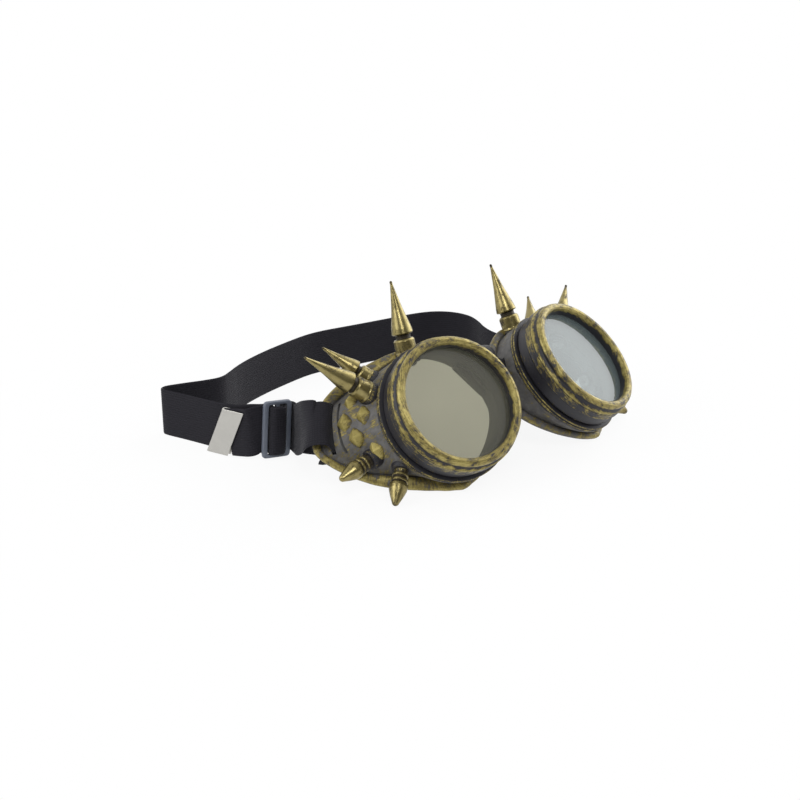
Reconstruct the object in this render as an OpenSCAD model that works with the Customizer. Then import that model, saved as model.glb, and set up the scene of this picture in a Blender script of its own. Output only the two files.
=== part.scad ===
// Round-cup goggles with screw-on lens rings, spikes and an elastic head strap.
// They lie on a table, lenses up and forward, with the strap standing on its edge behind them.
// +Z is up, -Y is the front, and -X is the side of the wearer's right eye.

/* [Pose on the table] */
// Distance between the middles of the two lens openings
eye_spacing = 76.6; // [74:0.2:84]
// Height of the lens openings' middles above the table
lens_height = 36.1; // [35.5:0.1:38]
// Angle of the right lens axis above the horizontal
right_pitch = 38.1; // [36:0.1:40]
// Angle of the left lens axis above the horizontal
left_pitch = 45.3; // [43:0.1:47]
// Angle by which the right lens axis turns outwards
right_splay = 13.3; // [11:0.1:16]
// Angle by which the left lens axis turns outwards
left_splay = 14.8; // [12:0.1:17]

/* [Lens] */
// Diameter of a lens
lens_d = 50; // [48:0.1:50.2]
// Thickness of a lens
lens_t = 2; // [1.5:0.1:2.4]
// Depth of the lens face behind the mouth of its ring
lens_recess = 3; // [2.5:0.1:3.4]
// Thickness of the flat rubber gasket behind the lens
gasket_t = 0.8; // [0.5:0.1:1.2]
// Width of the gasket's flat ring
gasket_w = 1.4; // [1:0.1:1.8]

/* [Screw ring round the lens] */
// How far the ring's mouth covers the edge of the lens
mouth_lip = 2; // [1.7:0.1:3]
// Height of the rounded lip in front of the mouth
lip_h = 1.5; // [1:0.1:2]
// Wall of the broad grip band, outside the thread's bore
band_wall = 1.5; // [1.3:0.05:2]
// Front edge of the grip band, behind the mouth
band_front = 2.5; // [2.2:0.1:3]
// Rear edge of the grip band, behind the mouth
band_rear = 6.5; // [6:0.1:7]
// Wall of the plain skirt behind the band, outside the thread's bore
skirt_wall = 1; // [0.8:0.05:1.2]
// Length of the ring behind the mouth
ring_len = 12; // [11:0.1:12.2]
// Step from the edge of the lens out to the bore of the ring's female thread
thread_step = 1; // [0.95:0.05:1.3]
// Advance of the thread for each turn
thread_pitch = 2; // [1.5:0.25:3]
// Turns from tight to the last thread
thread_turns = 2; // [1:1:2]

/* [Eye cup] */
// Wall of the threaded spigot
spigot_wall = 1.9; // [1.6:0.1:2.4]
// Step from the grip band out to the collar behind the ring
collar_step = 1.1; // [0.8:0.1:1.5]
// Length of the collar along the lens axis
collar_len = 2.4; // [2:0.1:3]
// Step from the collar in to where the side wall leaves it
wall_step = 0.4; // [0.3:0.05:0.7]
// Thickness of the side wall
wall_t = 2; // [1.6:0.1:2.4]
// How far the flange stands out past the top of the side wall, towards the temple
temple_out = 21.8; // [20:0.2:22.8]
// The same towards the nose
nose_out = 3.3; // [2.8:0.1:3.8]
// The same towards the brow
brow_out = 3.3; // [2.8:0.1:4.8]
// The same towards the cheek
cheek_out = 2.1; // [1.8:0.1:2.4]
// Depth of the flange behind the mouth, level with the lens axis
flange_depth = 21.5; // [20.5:0.1:22.5]
// Further depth of the flange at the temple
temple_drop = 10; // [9:0.1:11]
// Thickness of the flange
flange_t = 2; // [1.6:0.1:2.4]
// Width of the flange's crowned border
rim_w = 3.2; // [2.6:0.1:3.6]
// Height of the border's crown
rim_h = 0.8; // [0.6:0.1:1.2]
// Extra width of the border at the corners of the temple side
corner_w = 2.6; // [1.5:0.1:3]

/* [Strap slots] */
// Clear length of each strap slot
slot_len = 21.6; // [21.5:0.1:23]
// Width of each strap slot
slot_w = 1.6; // [1.55:0.05:1.8]
// Width of the bar between the two slots
slot_bar = 1.6; // [1.4:0.1:2]

/* [Nose bridge] */
// Width of the bridge strip
bridge_w = 12; // [10:0.5:13]
// Thickness of the bridge strip
bridge_t = 2; // [1.5:0.1:2.4]
// Width across the T-shaped ends of the bridge
bridge_end_w = 16; // [15:0.5:17]

/* [Spikes] */
// Length of a long spike
long_spike = 29.6; // [26:0.2:33]
// Length of a short spike
short_spike = 22; // [20:0.2:24]
// Length of a bullet stud
bullet_len = 15; // [14:0.2:16]
// Largest diameter of a long spike
long_spike_d = 8.7; // [8:0.1:9]
// Largest diameter of a short spike
short_spike_d = 7.2; // [6.8:0.1:7.6]
// Largest diameter of a bullet stud
bullet_d = 7.3; // [7:0.1:7.6]
// Diameter of the screws that hold the spikes from inside
screw_d = 3; // [2.5:0.1:3]
// Diameter of the screw heads
screw_head_d = 5.4; // [5:0.1:5.6]

/* [Diamond studs moulded on the wall] */
// Length of a diamond stud
diamond_len = 7.4; // [6:0.2:8]
// Width of a diamond stud
diamond_w = 5.2; // [4:0.2:6]
// Height of a diamond stud
diamond_h = 2.4; // [1.5:0.1:3]

/* [Elastic strap] */
// Width of the strap
strap_w = 20.7; // [20:0.1:20.8]
// Thickness of the strap
strap_t = 1; // [0.8:0.05:1.1]

/* [Slider on the strap] */
// Height of the slider across the strap
slider_h = 24.4; // [24.2:0.1:25]
// Length of the slider along the strap
slider_len = 12.4; // [12.4:0.1:13]
// Width of its two end bars
slider_bar = 2.2; // [1.8:0.1:2.2]
// Width of its middle bar
slider_mid_bar = 2; // [1.6:0.1:2]
// Thickness of the slider
slider_t = 2; // [1.6:0.1:2.2]

/* [Clip on the strap's end] */
// Length of the clip along the strap
clip_len = 11.2; // [10:0.2:12]
// Height of the clip across the strap
clip_h = 20.4; // [20:0.1:20.7]
// Slant of the clip's ends from upright
clip_slant = 24.3; // [20:0.5:27]
// Thickness of the clip's sheet metal
clip_sheet = 0.5; // [0.4:0.05:0.6]

/* [Hidden] */
$fn = 96;

// The two sides
RIGHT = -1;
LEFT = 1;

// Running gaps
thread_gap = 0.1;
pocket_gap = 0.15;
seat_gap = 0.05;
soft_gap = 0.3;
screw_gap = 0.05;
overlap = 0.02;

// The object's box on the table is centred on the frame's origin
frame_x = -2.1;
frame_y = 60.48;

// Depths along the lens axis, measured back from the mouth of the ring
lens_back = lens_recess + seat_gap + lens_t;
gasket_back = lens_back + gasket_t;
spigot_top = gasket_back + seat_gap;
collar_front = ring_len + 0.5;
collar_back = collar_front + collar_len;
wall_start = collar_back + 0.7;

// Diameters, outwards from the lens
mouth_d = lens_d - 2 * mouth_lip;
pocket_d = lens_d + 2 * pocket_gap;
thread_bore = lens_d + 2 * thread_step;
spigot_d = thread_bore - 2 * thread_gap;
spigot_bore = spigot_d - 2 * spigot_wall;
skirt_d = thread_bore + 2 * skirt_wall;
band_d = thread_bore + 2 * band_wall;
collar_d = band_d + 2 * collar_step;
wall_top_d = collar_d - 2 * wall_step;

// Reach of the flange from the lens axis
reach_temple = wall_top_d / 2 + temple_out;
reach_nose = wall_top_d / 2 + nose_out;
reach_brow = wall_top_d / 2 + brow_out;
reach_cheek = wall_top_d / 2 + cheek_out;

// Colours
dark_gold = "#6e6236";
gold = "#a58f45";
near_black = "#26252b";
smoke = "#9aa3a0";

// Vectors
function unit(v) = v / norm(v);
function turn_x(a, p) = [p.x, p.y * cos(a) - p.z * sin(a), p.y * sin(a) + p.z * cos(a)];
function turn_y(a, p) = [p.x * cos(a) + p.z * sin(a), p.y, -p.x * sin(a) + p.z * cos(a)];
function turn_z(a, p) = [p.x * cos(a) - p.y * sin(a), p.x * sin(a) + p.y * cos(a), p.z];

// A cup's own frame has x towards the temple, y up the cup and z out along the lens axis
function pitch(side) = side == LEFT ? left_pitch : right_pitch;
function splay(side) = side == LEFT ? left_splay : -right_splay;
function cup_dir(side, d) = turn_z(splay(side), turn_x(90 - pitch(side), [side * d.x, d.y, d.z]));
function cup_point(side, p) = cup_dir(side, p) + [side * eye_spacing / 2, 0, lens_height];

module in_frame() {
  translate([-frame_x, -frame_y, 0])
    children();
}

module place_cup(side) {
  in_frame()
    translate([side * eye_spacing / 2, 0, lens_height])
      rotate([90 - pitch(side), 0, splay(side)])
        if (side == RIGHT)
          mirror([1, 0, 0]) children();
        else
          children();
}

// The flange's outline is four quarters of superellipses; azimuth runs from the brow to the temple
function outline_power(az) = cos(az) >= 0 ? 2 : sin(az) > 0 ? 1.4 : 1.5;
function outline_r(az) =
  let (a = sin(az) > 0 ? reach_temple : reach_nose)
  let (b = cos(az) > 0 ? reach_brow : reach_cheek)
  let (e = outline_power(az))
  pow(pow(abs(sin(az)) / a, e) + pow(abs(cos(az)) / b, e), -1 / e);

// Depth of the flange's face: it leans back at the brow and sweeps back to the temple
brow_lean = 2.5;
nose_drop = 2.8;
sweep_len = 38;
function flange_at(r, az) =
  let (x = r * sin(az))
  let (y = r * cos(az))
  let (sweep = temple_drop * pow(sin(90 * min(max(x, 0) / sweep_len, 1)), 2))
  let (tuck = nose_drop * pow(max(-x, 0) / 31, 2))
  flange_depth + brow_lean * y / 31 + sweep + tuck;

// Where the wall meets the flange's border
function border_w(az) = rim_w + (sin(az) > 0 ? corner_w * pow(sin(2 * az), 2) : 0);
function foot_r(az) = outline_r(az) - border_w(az);

// The wall's face at azimuth az, a share v of the way from the collar to the flange
wall_hollow = 0.15;
function wall_r(az, v) = wall_top_d / 2 + (foot_r(az) - wall_top_d / 2) * v;
function wall_z(az, v) =
  -wall_start - (flange_at(foot_r(az), az) - wall_start) * (v + wall_hollow * v * (1 - v));
function wall_point(az, v) = [wall_r(az, v) * sin(az), wall_r(az, v) * cos(az), wall_z(az, v)];
function wall_inset(az) =
  let (run = foot_r(az) - wall_top_d / 2)
  let (drop = flange_at(foot_r(az), az) - wall_start)
  wall_t * [-drop, -run] / norm([drop, run]);

// One closed section of the cup at azimuth az, as [radius, height] pairs
function cup_section(az) =
  let (ro = outline_r(az))
  let (rf = foot_r(az))
  let (bw = border_w(az))
  let (face = -flange_at(ro, az))
  let (inset = wall_inset(az))
  let (outer = [for (v = [0, 0.35, 0.7]) [wall_r(az, v), wall_z(az, v)]])
  let (inner = [for (v = [0.85, 0.5, 0.12]) [wall_r(az, v), wall_z(az, v)] + inset])
  concat(
    [[wall_top_d / 2 - 0.3, -collar_back + 0.6]],
    outer,
    [
      [rf, -flange_at(rf, az)],
      [rf + 0.5, -flange_at(rf, az) + rim_h * 0.6],
      [rf + bw * 0.4, -flange_at(rf + bw * 0.4, az) + rim_h],
      [rf + bw * 0.75, -flange_at(rf + bw * 0.75, az) + rim_h * 0.75],
      [ro - 0.1, face + rim_h * 0.1],
      [ro - 0.2, face - flange_t + 0.9],
      [ro - 1.2, face - flange_t],
      [rf - 1, -flange_at(rf, az) - flange_t],
      [rf - wall_t, -flange_at(rf, az) - flange_t + 0.8]
    ],
    inner,
    [[spigot_bore / 2 + 0.6, -collar_back + 0.6]]
  );

// A closed skin through rings of points; ring i+1 follows ring i, and the last joins the first
function skin_faces(rings, n) = [
  for (i = [0:rings - 1], j = [0:n - 1], half = [0, 1])
    let (a = i * n + j)
    let (b = i * n + (j + 1) % n)
    let (c = ((i + 1) % rings) * n + (j + 1) % n)
    let (d = ((i + 1) % rings) * n + j)
    half == 0 ? [a, b, c] : [a, c, d]
];

cup_steps = 60;
module cup_shell() {
  sections = [for (i = [0:cup_steps - 1]) cup_section(i * 360 / cup_steps)];
  points = [
    for (i = [0:cup_steps - 1], q = sections[i])
      [q[0] * sin(i * 360 / cup_steps), q[0] * cos(i * 360 / cup_steps), q[1]]
  ];
  polyhedron(points, skin_faces(cup_steps, len(sections[0])), convexity = 6);
}

// The collar with its groove, and the spigot that carries the thread
module cup_collar() {
  groove = collar_len / 4;
  rotate_extrude()
    polygon([
      [spigot_bore / 2, -spigot_top],
      [spigot_d / 2 - 0.5, -spigot_top],
      [spigot_d / 2, -spigot_top - 0.5],
      [spigot_d / 2, -collar_front],
      [collar_d / 2 - 0.4, -collar_front],
      [collar_d / 2, -collar_front - 0.3],
      [collar_d / 2, -collar_front - groove],
      [collar_d / 2 - 0.5, -collar_front - 1.5 * groove],
      [collar_d / 2 - 0.5, -collar_front - 2 * groove],
      [collar_d / 2 - 0.1, -collar_front - 2.5 * groove],
      [collar_d / 2 - 0.1, -collar_back + 0.2],
      [wall_top_d / 2 - 0.1, -collar_back],
      [wall_top_d / 2 - 0.1, -wall_start],
      [spigot_bore / 2 + wall_t, -wall_start - 1],
      [spigot_bore / 2, -wall_start + 1]
    ]);
}

// Spikes: azimuth and share down the wall of the foot, rise of the axis towards the lens, and its turn
// away from the radius towards the cheek
TOP = [5.6, 0.68, 20, -1.3];
SIDE_FRONT = [60, 0.2, 12, -5];
SIDE_REAR = [43, 0.62, 1, 1];
CHEEK_OUTER = [106.3, 0.5, 1.5, 1.8];
CHEEK_INNER = [126, 0.34, 4, 21.5];
// Thickness of wall and pads that each screw clamps, and how far the seat outside stands off the wall
SPIKE_SEATS = [
  [TOP, 4, 0.6, long_spike_d, long_spike],
  [SIDE_FRONT, 6, 1.4, long_spike_d, long_spike],
  [SIDE_REAR, 5.5, 1, short_spike_d, short_spike],
  [CHEEK_OUTER, 6.5, 1.8, bullet_d, bullet_len],
  [CHEEK_INNER, 4.5, 0.8, bullet_d, bullet_len]
];

// Puts children at a spike's foot with +z along the spike
module at_spike(seat) {
  p = seat[0];
  foot = wall_point(p[0], p[1]);
  translate(foot)
    rotate([0, 0, -(p[0] + p[3])])
      rotate([-90 + p[2], 0, 0])
        children();
}

screw_hole_d = screw_d + 0.4;
screw_reach = 5;
screw_head_h = 1.6;

module seat_pad(seat) {
  at_spike(seat)
    translate([0, 0, seat[2] - seat[1]])
      cylinder(h = seat[1], d = seat[3] + 0.6);
}

// The screw's hole, room for its head inside, and a spot face for the spike's foot outside
module seat_hole(seat) {
  at_spike(seat)
    translate([0, 0, seat[2] - seat[1] - 8]) {
      cylinder(h = seat[1] + 16, d = screw_hole_d);
      cylinder(h = 8, d = screw_head_d + 1.4);
      translate([0, 0, seat[1] + 8])
        cylinder(h = 2.4, d = seat[3] + 1.1);
    }
}

// Diamond studs, as azimuth and share down the wall
DIAMONDS = [[64.7, 0.57], [76.7, 0.23], [79.1, 0.56], [90, 0.4], [103.2, 0.27]];
module diamond(place) {
  az = place[0];
  v = place[1];
  foot = wall_point(az, v);
  slope = atan2(wall_inset(az)[1], wall_inset(az)[0]) - 180;
  l = diamond_len / 2;
  w = diamond_w / 2;
  sunk = -1.2;
  translate(foot)
    rotate([0, 0, -az])
      rotate([slope - 90, 0, 0])
        polyhedron(
          [[w, 0, 0], [0, l, 0], [-w, 0, 0], [0, -l, 0], [0, l * 0.15, diamond_h],
           [w, 0, sunk], [0, l, sunk], [-w, 0, sunk], [0, -l, sunk]],
          [[0, 4, 1], [1, 4, 2], [2, 4, 3], [3, 4, 0],
           [5, 0, 1, 6], [6, 1, 2, 7], [7, 2, 3, 8], [8, 3, 0, 5], [5, 6, 7, 8]]
        );
}

// Strap slots: a frame whose x runs along the wall to the temple, y along the slot and z out of the wall
slot_inward = 10.03;
slot_at = [reach_temple - slot_inward, 8.13, -28.54];
slot_turn = [-23.3, 41, 6.35];
slot_skew = 4;
function slot_dir(d) =
  turn_z(slot_turn[2], turn_y(slot_turn[1], turn_x(slot_turn[0], turn_z(slot_skew, d))));
function slot_point(side, p) = cup_point(side, slot_at + slot_dir(p));
inner_slot_x = -slot_bar / 2 - slot_w / 2;
outer_slot_x = slot_bar / 2 + slot_w / 2;

module strap_slots() {
  translate(slot_at)
    rotate(slot_turn)
      rotate([0, 0, slot_skew])
        for (x = [inner_slot_x, outer_slot_x])
          translate([x - slot_w / 2, -slot_len / 2, -9])
            cube([slot_w, slot_len, 12]);
}

// Nose slot: the bridge goes through the wall at this azimuth and depth
nose_az = -58;
nose_depth = 20.8;
module at_nose() {
  translate([0, 0, -nose_depth])
    rotate([0, 0, -nose_az])
      children();
}

module nose_slot() {
  at_nose()
    translate([-bridge_w / 2 - soft_gap, spigot_bore / 2 - 1, -bridge_t / 2 - soft_gap])
      cube([bridge_w + 2 * soft_gap, 12, bridge_t + 2 * soft_gap]);
}

module eyecup(side) {
  color(dark_gold)
    place_cup(side)
      difference() {
        union() {
          cup_shell();
          cup_collar();
          for (seat = SPIKE_SEATS)
            seat_pad(seat);
          for (place = DIAMONDS)
            diamond(place);
        }
        for (seat = SPIKE_SEATS)
          seat_hole(seat);
        strap_slots();
        nose_slot();
      }
}

module lens_ring(side) {
  color(gold)
    place_cup(side)
      rotate_extrude()
        polygon([
          [mouth_d / 2, -lens_recess],
          [mouth_d / 2, -0.2],
          [mouth_d / 2 + 0.3, lip_h * 0.5],
          [mouth_d / 2 + 1, lip_h * 0.9],
          [mouth_d / 2 + 1.8, lip_h],
          [mouth_d / 2 + 2.7, lip_h * 0.8],
          [mouth_d / 2 + 3.4, lip_h * 0.25],
          [mouth_d / 2 + 3.6, -0.4],
          [mouth_d / 2 + 3.3, -1],
          [mouth_d / 2 + 3.3, -1.5],
          [band_d / 2 - 0.4, -band_front],
          [band_d / 2, -band_front - 0.3],
          [band_d / 2, -band_front - 0.8],
          [band_d / 2 - 0.25, -band_front - 1],
          [band_d / 2, -band_front - 1.2],
          [band_d / 2, -band_rear + 0.5],
          [band_d / 2 + 0.1, -band_rear],
          [skirt_d / 2, -band_rear - 0.3],
          [skirt_d / 2, -ring_len + 0.3],
          [skirt_d / 2 - 0.3, -ring_len],
          [thread_bore / 2, -ring_len],
          [thread_bore / 2, -spigot_top + 0.4],
          [pocket_d / 2, -spigot_top + 0.4],
          [pocket_d / 2, -lens_recess]
        ]);
}

module lens(side) {
  color(smoke, 0.6)
    place_cup(side)
      translate([0, 0, -lens_back])
        cylinder(h = lens_t, d = lens_d);
}

module lens_gasket(side) {
  color(near_black)
    place_cup(side)
      translate([0, 0, -gasket_back])
        difference() {
          cylinder(h = gasket_t, d = lens_d);
          translate([0, 0, -1])
            cylinder(h = gasket_t + 2, d = lens_d - 2 * gasket_w);
        }
}

// A conical spike: barrel with a flared foot, neck, then the cone with its rounded tip
module cone_spike(side, seat, barrel, neck) {
  r = seat[3] / 2;
  tip = 0.6;
  color(gold)
    place_cup(side)
      at_spike(seat)
        translate([0, 0, seat[2]])
          difference() {
            rotate_extrude()
              polygon(concat(
                [
                  [0, 0], [r + 0.25, 0], [r + 0.25, 0.4], [r - 0.05, 1], [r - 0.1, barrel - 0.7],
                  [r - 0.6, barrel], [r - 1.25, barrel + 0.2], [r - 1.25, barrel + neck],
                  [r - 0.3, barrel + neck], [r, barrel + neck + 0.3]
                ],
                [for (a = [10:20:90]) [tip * cos(a), seat[4] - tip + tip * sin(a)]]
              ));
            translate([0, 0, -1])
              cylinder(h = screw_reach + 1.5, d = screw_d + 2 * screw_gap);
          }
}

// A bullet stud: waist, two rings and a blunt head
module bullet_stud(side, seat) {
  r = seat[3] / 2;
  color(gold)
    place_cup(side)
      at_spike(seat)
        translate([0, 0, seat[2]])
          difference() {
            rotate_extrude()
              polygon([
                [0, 0], [r - 0.9, 0], [r - 1.1, 1.5], [r - 0.5, 2], [r - 0.45, 2.6],
                [r - 1, 3], [r - 1, 3.7], [r - 0.3, 4.2], [r - 0.25, 4.9], [r - 0.7, 5.3],
                [r - 0.1, 6.2], [r, 7.2], [r - 0.15, 8.4], [r - 1.1, seat[4] - 3.9],
                [1.2, seat[4] - 0.6], [0.7, seat[4] - 0.15], [0, seat[4]]
              ]);
            translate([0, 0, -1])
              cylinder(h = screw_reach + 1.5, d = screw_d + 2 * screw_gap);
          }
}

module spike_screws(side) {
  color("silver")
    place_cup(side)
      for (seat = SPIKE_SEATS)
        at_spike(seat)
          translate([0, 0, seat[2] - seat[1]]) {
            cylinder(h = seat[1] + screw_reach, d = screw_d);
            translate([0, 0, -screw_head_h])
              cylinder(h = screw_head_h, d = screw_head_d);
          }
}

// Soft strips. A route is a list of [point, direction of the strip's width]
function cut_corners(route) = concat(
  [route[0]],
  [for (i = [0:len(route) - 2], q = [0.25, 0.75]) route[i] * (1 - q) + route[i + 1] * q],
  [route[len(route) - 1]]
);
function smooth(route, times) = times == 0 ? route : smooth(cut_corners(route), times - 1);
function tangent(route, i) =
  unit(route[min(i + 1, len(route) - 1)][0] - route[max(i - 1, 0)][0]);
function strip_section(route, i, w, t) =
  let (along = tangent(route, i))
  let (lean = unit(route[i][1]))
  let (across = unit(lean - (lean * along) * along))
  let (out = cross(along, across))
  [for (k = [[-1, -1], [1, -1], [1, 1], [-1, 1]])
    route[i][0] + across * k[0] * w / 2 + out * k[1] * t / 2];
module strip(route, w, t) {
  n = len(route);
  points = [for (i = [0:n - 1], p = strip_section(route, i, w, t)) p];
  sides = [
    for (i = [0:n - 2], j = [0:3], half = [0, 1])
      let (a = 4 * i + j)
      let (b = 4 * i + (j + 1) % 4)
      half == 0 ? [a, b + 4, b] : [a, a + 4, b + 4]
  ];
  ends = [[0, 1, 2, 3], [4 * n - 1, 4 * n - 2, 4 * n - 3, 4 * n - 4]];
  polyhedron(points, concat(sides, ends), convexity = 10);
}

// Nose bridge: from the inside of one cup, out through its slot, over the arch and into the other cup
function nose_dir(side) = cup_dir(side, [sin(nose_az), cos(nose_az), 0]);
function nose_across(side) = cup_dir(side, [cos(nose_az), -sin(nose_az), 0]);
function nose_point(side, r) = cup_point(side, r * [sin(nose_az), cos(nose_az), 0] - [0, 0, nose_depth]);
bridge_end_r = spigot_bore / 2 + 0.7;
bridge_in_slot = reach_nose - 2.5;
bridge_clear = reach_nose + 1;
bridge_mid = [0.2, 20.9, 39.4];
face_up = [0, 0.67, 0.74];
bridge_route = [
  [nose_point(RIGHT, bridge_end_r - 1), nose_across(RIGHT)],
  [nose_point(RIGHT, bridge_in_slot), nose_across(RIGHT)],
  [nose_point(RIGHT, bridge_clear), nose_across(RIGHT)],
  [bridge_mid + [-3.6, 0, 0], face_up],
  [bridge_mid + [3.4, -0.3, -0.6], face_up],
  [nose_point(LEFT, bridge_clear), nose_across(LEFT)],
  [nose_point(LEFT, bridge_in_slot), nose_across(LEFT)],
  [nose_point(LEFT, bridge_end_r - 1), nose_across(LEFT)]
];

module bridge_end(side) {
  place_cup(side)
    at_nose()
      translate([-bridge_end_w / 2, bridge_end_r - 2, -2.5])
        cube([bridge_end_w, 2, 5]);
}

module nose_bridge() {
  color(near_black) {
    in_frame()
      strip(smooth(bridge_route, 2), bridge_w, bridge_t);
    bridge_end(RIGHT);
    bridge_end(LEFT);
  }
}

// Slider: its own frame has x along the strap towards the cup, y out of its back and z up
slider_at = [-70.95, 72.6, 0.5];
slider_turn = -15.3;
slider_lean = 4;
function slider_dir(d) = turn_z(slider_turn, turn_y(slider_lean, d));
function slider_point(a, b, z) = slider_at + slider_dir([a, -b, z]);
slider_gap = (slider_len - 2 * slider_bar - slider_mid_bar) / 2;

module strap_slider() {
  frame_z = (slider_h - strap_w) / 2 - 0.35;
  corner = 1.5;
  color("#4a4b50")
    in_frame()
      translate(slider_at)
        rotate([0, slider_lean, slider_turn])
          difference() {
            translate([0, slider_t / 2, slider_h / 2])
              rotate([90, 0, 0])
                linear_extrude(slider_t)
                  union() {
                    square([slider_len - 2 * corner, slider_h], center = true);
                    square([slider_len, slider_h - 2 * corner], center = true);
                    for (x = [-1, 1], y = [-1, 1])
                      translate([x * (slider_len / 2 - corner), y * (slider_h / 2 - corner)])
                        circle(corner, $fn = 32);
                  }
            for (x = [-1, 1])
              translate([x * (slider_mid_bar + slider_gap) / 2 - slider_gap / 2, -slider_t, frame_z])
                cube([slider_gap, 2 * slider_t, slider_h - 2 * frame_z]);
          }
}

// Clip: a slanted sheet-metal U round the strap's cut end
clip_at = [-83.37, 88.88, 10.5];
clip_heading = 104.5;
clip_gap = strap_t + 0.4;
clip_t = clip_gap + 2 * clip_sheet;
module slanted(l, h, t) {
  lean = h * tan(clip_slant) / 2;
  rotate([90, 0, 0])
    linear_extrude(t, center = true)
      polygon([
        [-l / 2 + lean, -h / 2], [l / 2 + lean, -h / 2],
        [l / 2 - lean, h / 2], [-l / 2 - lean, h / 2]
      ]);
}
module strap_end_clip() {
  color("silver")
    in_frame()
      translate(clip_at)
        rotate([0, 0, clip_heading])
          difference() {
            slanted(clip_len, clip_h, clip_t);
            translate([-clip_sheet * 2, 0, 0])
              slanted(clip_len, clip_h + 4, clip_gap);
          }
}

// Strap: from its free end in the clip, through the slider to the right cup, back through the slider,
// round behind the head and to the left cup, where its other end is sewn down
up = [0, 0, 1];
mid_z = strap_w / 2;
slider_z = slider_h / 2;
half_t = slider_t / 2;
half_len = slider_len / 2;
bar_in = half_len - slider_bar;
mid_half = slider_mid_bar / 2;
// Radii of the strap's middle line round a bar's edge: the layer on the bar, and the layer over it
wrap = strap_t / 2 + soft_gap + 0.05;
second = wrap + strap_t + soft_gap;

function flat_stop(p) = [p, up];
function slider_stop(a, b) = [slider_point(a, b, slider_z), slider_dir([0, 0, 1])];
function slider_arc(a, b, r, from, to) = [
  for (k = [0:3])
    let (q = from + (to - from) * k / 3)
    slider_stop(a + r * cos(q), b + r * sin(q))
];
function slot_stop(side, x, z, turn) =
  [slot_point(side, [x, 0, z]), cup_dir(side, slot_dir([0, 1, 0])) * (1 - turn) + up * turn];

tail_route = concat(
  [for (p = [[-82.95, 87.2, 10.7], [-81.95, 83.4, 11.2], [-80.5, 77.7, 12.2]]) flat_stop(p)],
  [slider_stop(-half_len - 1.6, -half_t - wrap - 0.1), slider_stop(-half_len, -half_t - wrap)],
  slider_arc(-bar_in, -half_t, wrap, 270, 360),
  slider_arc(-mid_half, half_t, second, 180, 90),
  slider_arc(mid_half, half_t, second, 90, 10),
  [slider_stop(bar_in - wrap, half_t)],
  slider_arc(bar_in, -half_t, wrap, 180, 270),
  slider_arc(half_len, -half_t, wrap, 270, 360),
  slider_arc(half_len, half_t, wrap + 0.05, 0, 30),
  [slider_stop(half_len + 0.7, half_t + 2.4)]
);
front_route = [
  [[-66, 65, 13], up],
  [[-68.8, 60.6, 15.4], [0.03, 0.05, 1]],
  [[-72.3, 54.4, 19], [0.18, 0.25, 0.95]],
  [[-76.6, 48.2, 22.2], [0.42, 0.5, 0.75]],
  slot_stop(RIGHT, 8.6, 4, 0),
  slot_stop(RIGHT, 5, 3.7, 0),
  slot_stop(RIGHT, 2.9, 2.7, 0)
];
function flange_turn(side) = [
  slot_stop(side, outer_slot_x + 0.25, 1.2, 0),
  slot_stop(side, outer_slot_x, -0.5, 0),
  slot_stop(side, outer_slot_x, -5, 0),
  slot_stop(side, outer_slot_x + 0.1, -8.4, 0),
  slot_stop(side, outer_slot_x + 1.6, -10, 0),
  slot_stop(side, outer_slot_x + 4.4, -9.8, 0.1)
];
back_route = concat(
  [
    [[-65, 45.8, 16.2], [0.4, 0.45, 0.75]],
    [[-62.6, 54, 15.2], [0.12, 0.15, 0.95]],
    [[-60.8, 61.2, 12.6], up],
    [[-61.3, 66, 11.6], slider_dir([0, 0, 1])]
  ],
  [slider_stop(half_len + second, 2.4)],
  slider_arc(half_len, -half_t, second, 360, 270),
  slider_arc(bar_in, -half_t, second, 270, 180),
  slider_arc(mid_half, half_t, wrap, 0, 90),
  slider_arc(-mid_half, half_t, wrap, 90, 180),
  slider_arc(-bar_in, -half_t, second, 0, -90),
  [slider_stop(-half_len, -half_t - second - 0.2), slider_stop(-half_len - 1.6, -half_t - second - 0.9)]
);
rear_route = [
  for (p = [
    [-77.9, 82, 12], [-79.4, 88.6, 11], [-81.6, 97.5, mid_z], [-83.6, 107, mid_z],
    [-86, 117, mid_z],
    [-87.8, 123.4, mid_z], [-88.3, 127, mid_z], [-85.6, 128.4, mid_z], [-81, 127, mid_z],
    [-75, 124.8, mid_z], [-68, 122, mid_z], [-61, 120.3, mid_z], [-54, 123.6, mid_z],
    [-46, 128, mid_z], [-36, 131.8, mid_z], [-24, 135.2, mid_z], [-10, 138, mid_z],
    [4, 140.3, mid_z], [14, 139.8, mid_z], [26, 137, mid_z], [40, 134, mid_z], [55, 131, mid_z],
    [67, 128.6, mid_z], [76, 124.6, mid_z], [82, 117, mid_z], [83.3, 107, mid_z],
    [79.6, 98, mid_z], [74.6, 90, mid_z], [71.2, 81, mid_z], [70.8, 72, mid_z]
  ])
    flat_stop(p)
];
left_route = concat(
  [
    [[71.4, 63.5, 11.6], up],
    [[73.6, 57, 14.4], [-0.08, 0.1, 1]],
    [[77.2, 50.6, 18], [-0.3, 0.35, 0.85]],
    slot_stop(LEFT, 8.6, 4, 0),
    slot_stop(LEFT, 5, 3.7, 0),
    slot_stop(LEFT, 2.9, 2.7, 0)
  ],
  flange_turn(LEFT),
  [
    [[68.6, 50.5, 12.6], [-0.2, 0.3, 0.9]],
    [[69, 58, 11.4], up],
    [[69.2, 65, 10.8], up],
    [[69.3, 70, mid_z], up],
    [[69.4, 74, mid_z], up]
  ]
);
strap_route = concat(tail_route, front_route, flange_turn(RIGHT), back_route, rear_route, left_route);

module elastic_strap() {
  color(near_black)
    in_frame()
      strip(smooth(strap_route, 2), strap_w, strap_t);
}

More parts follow.
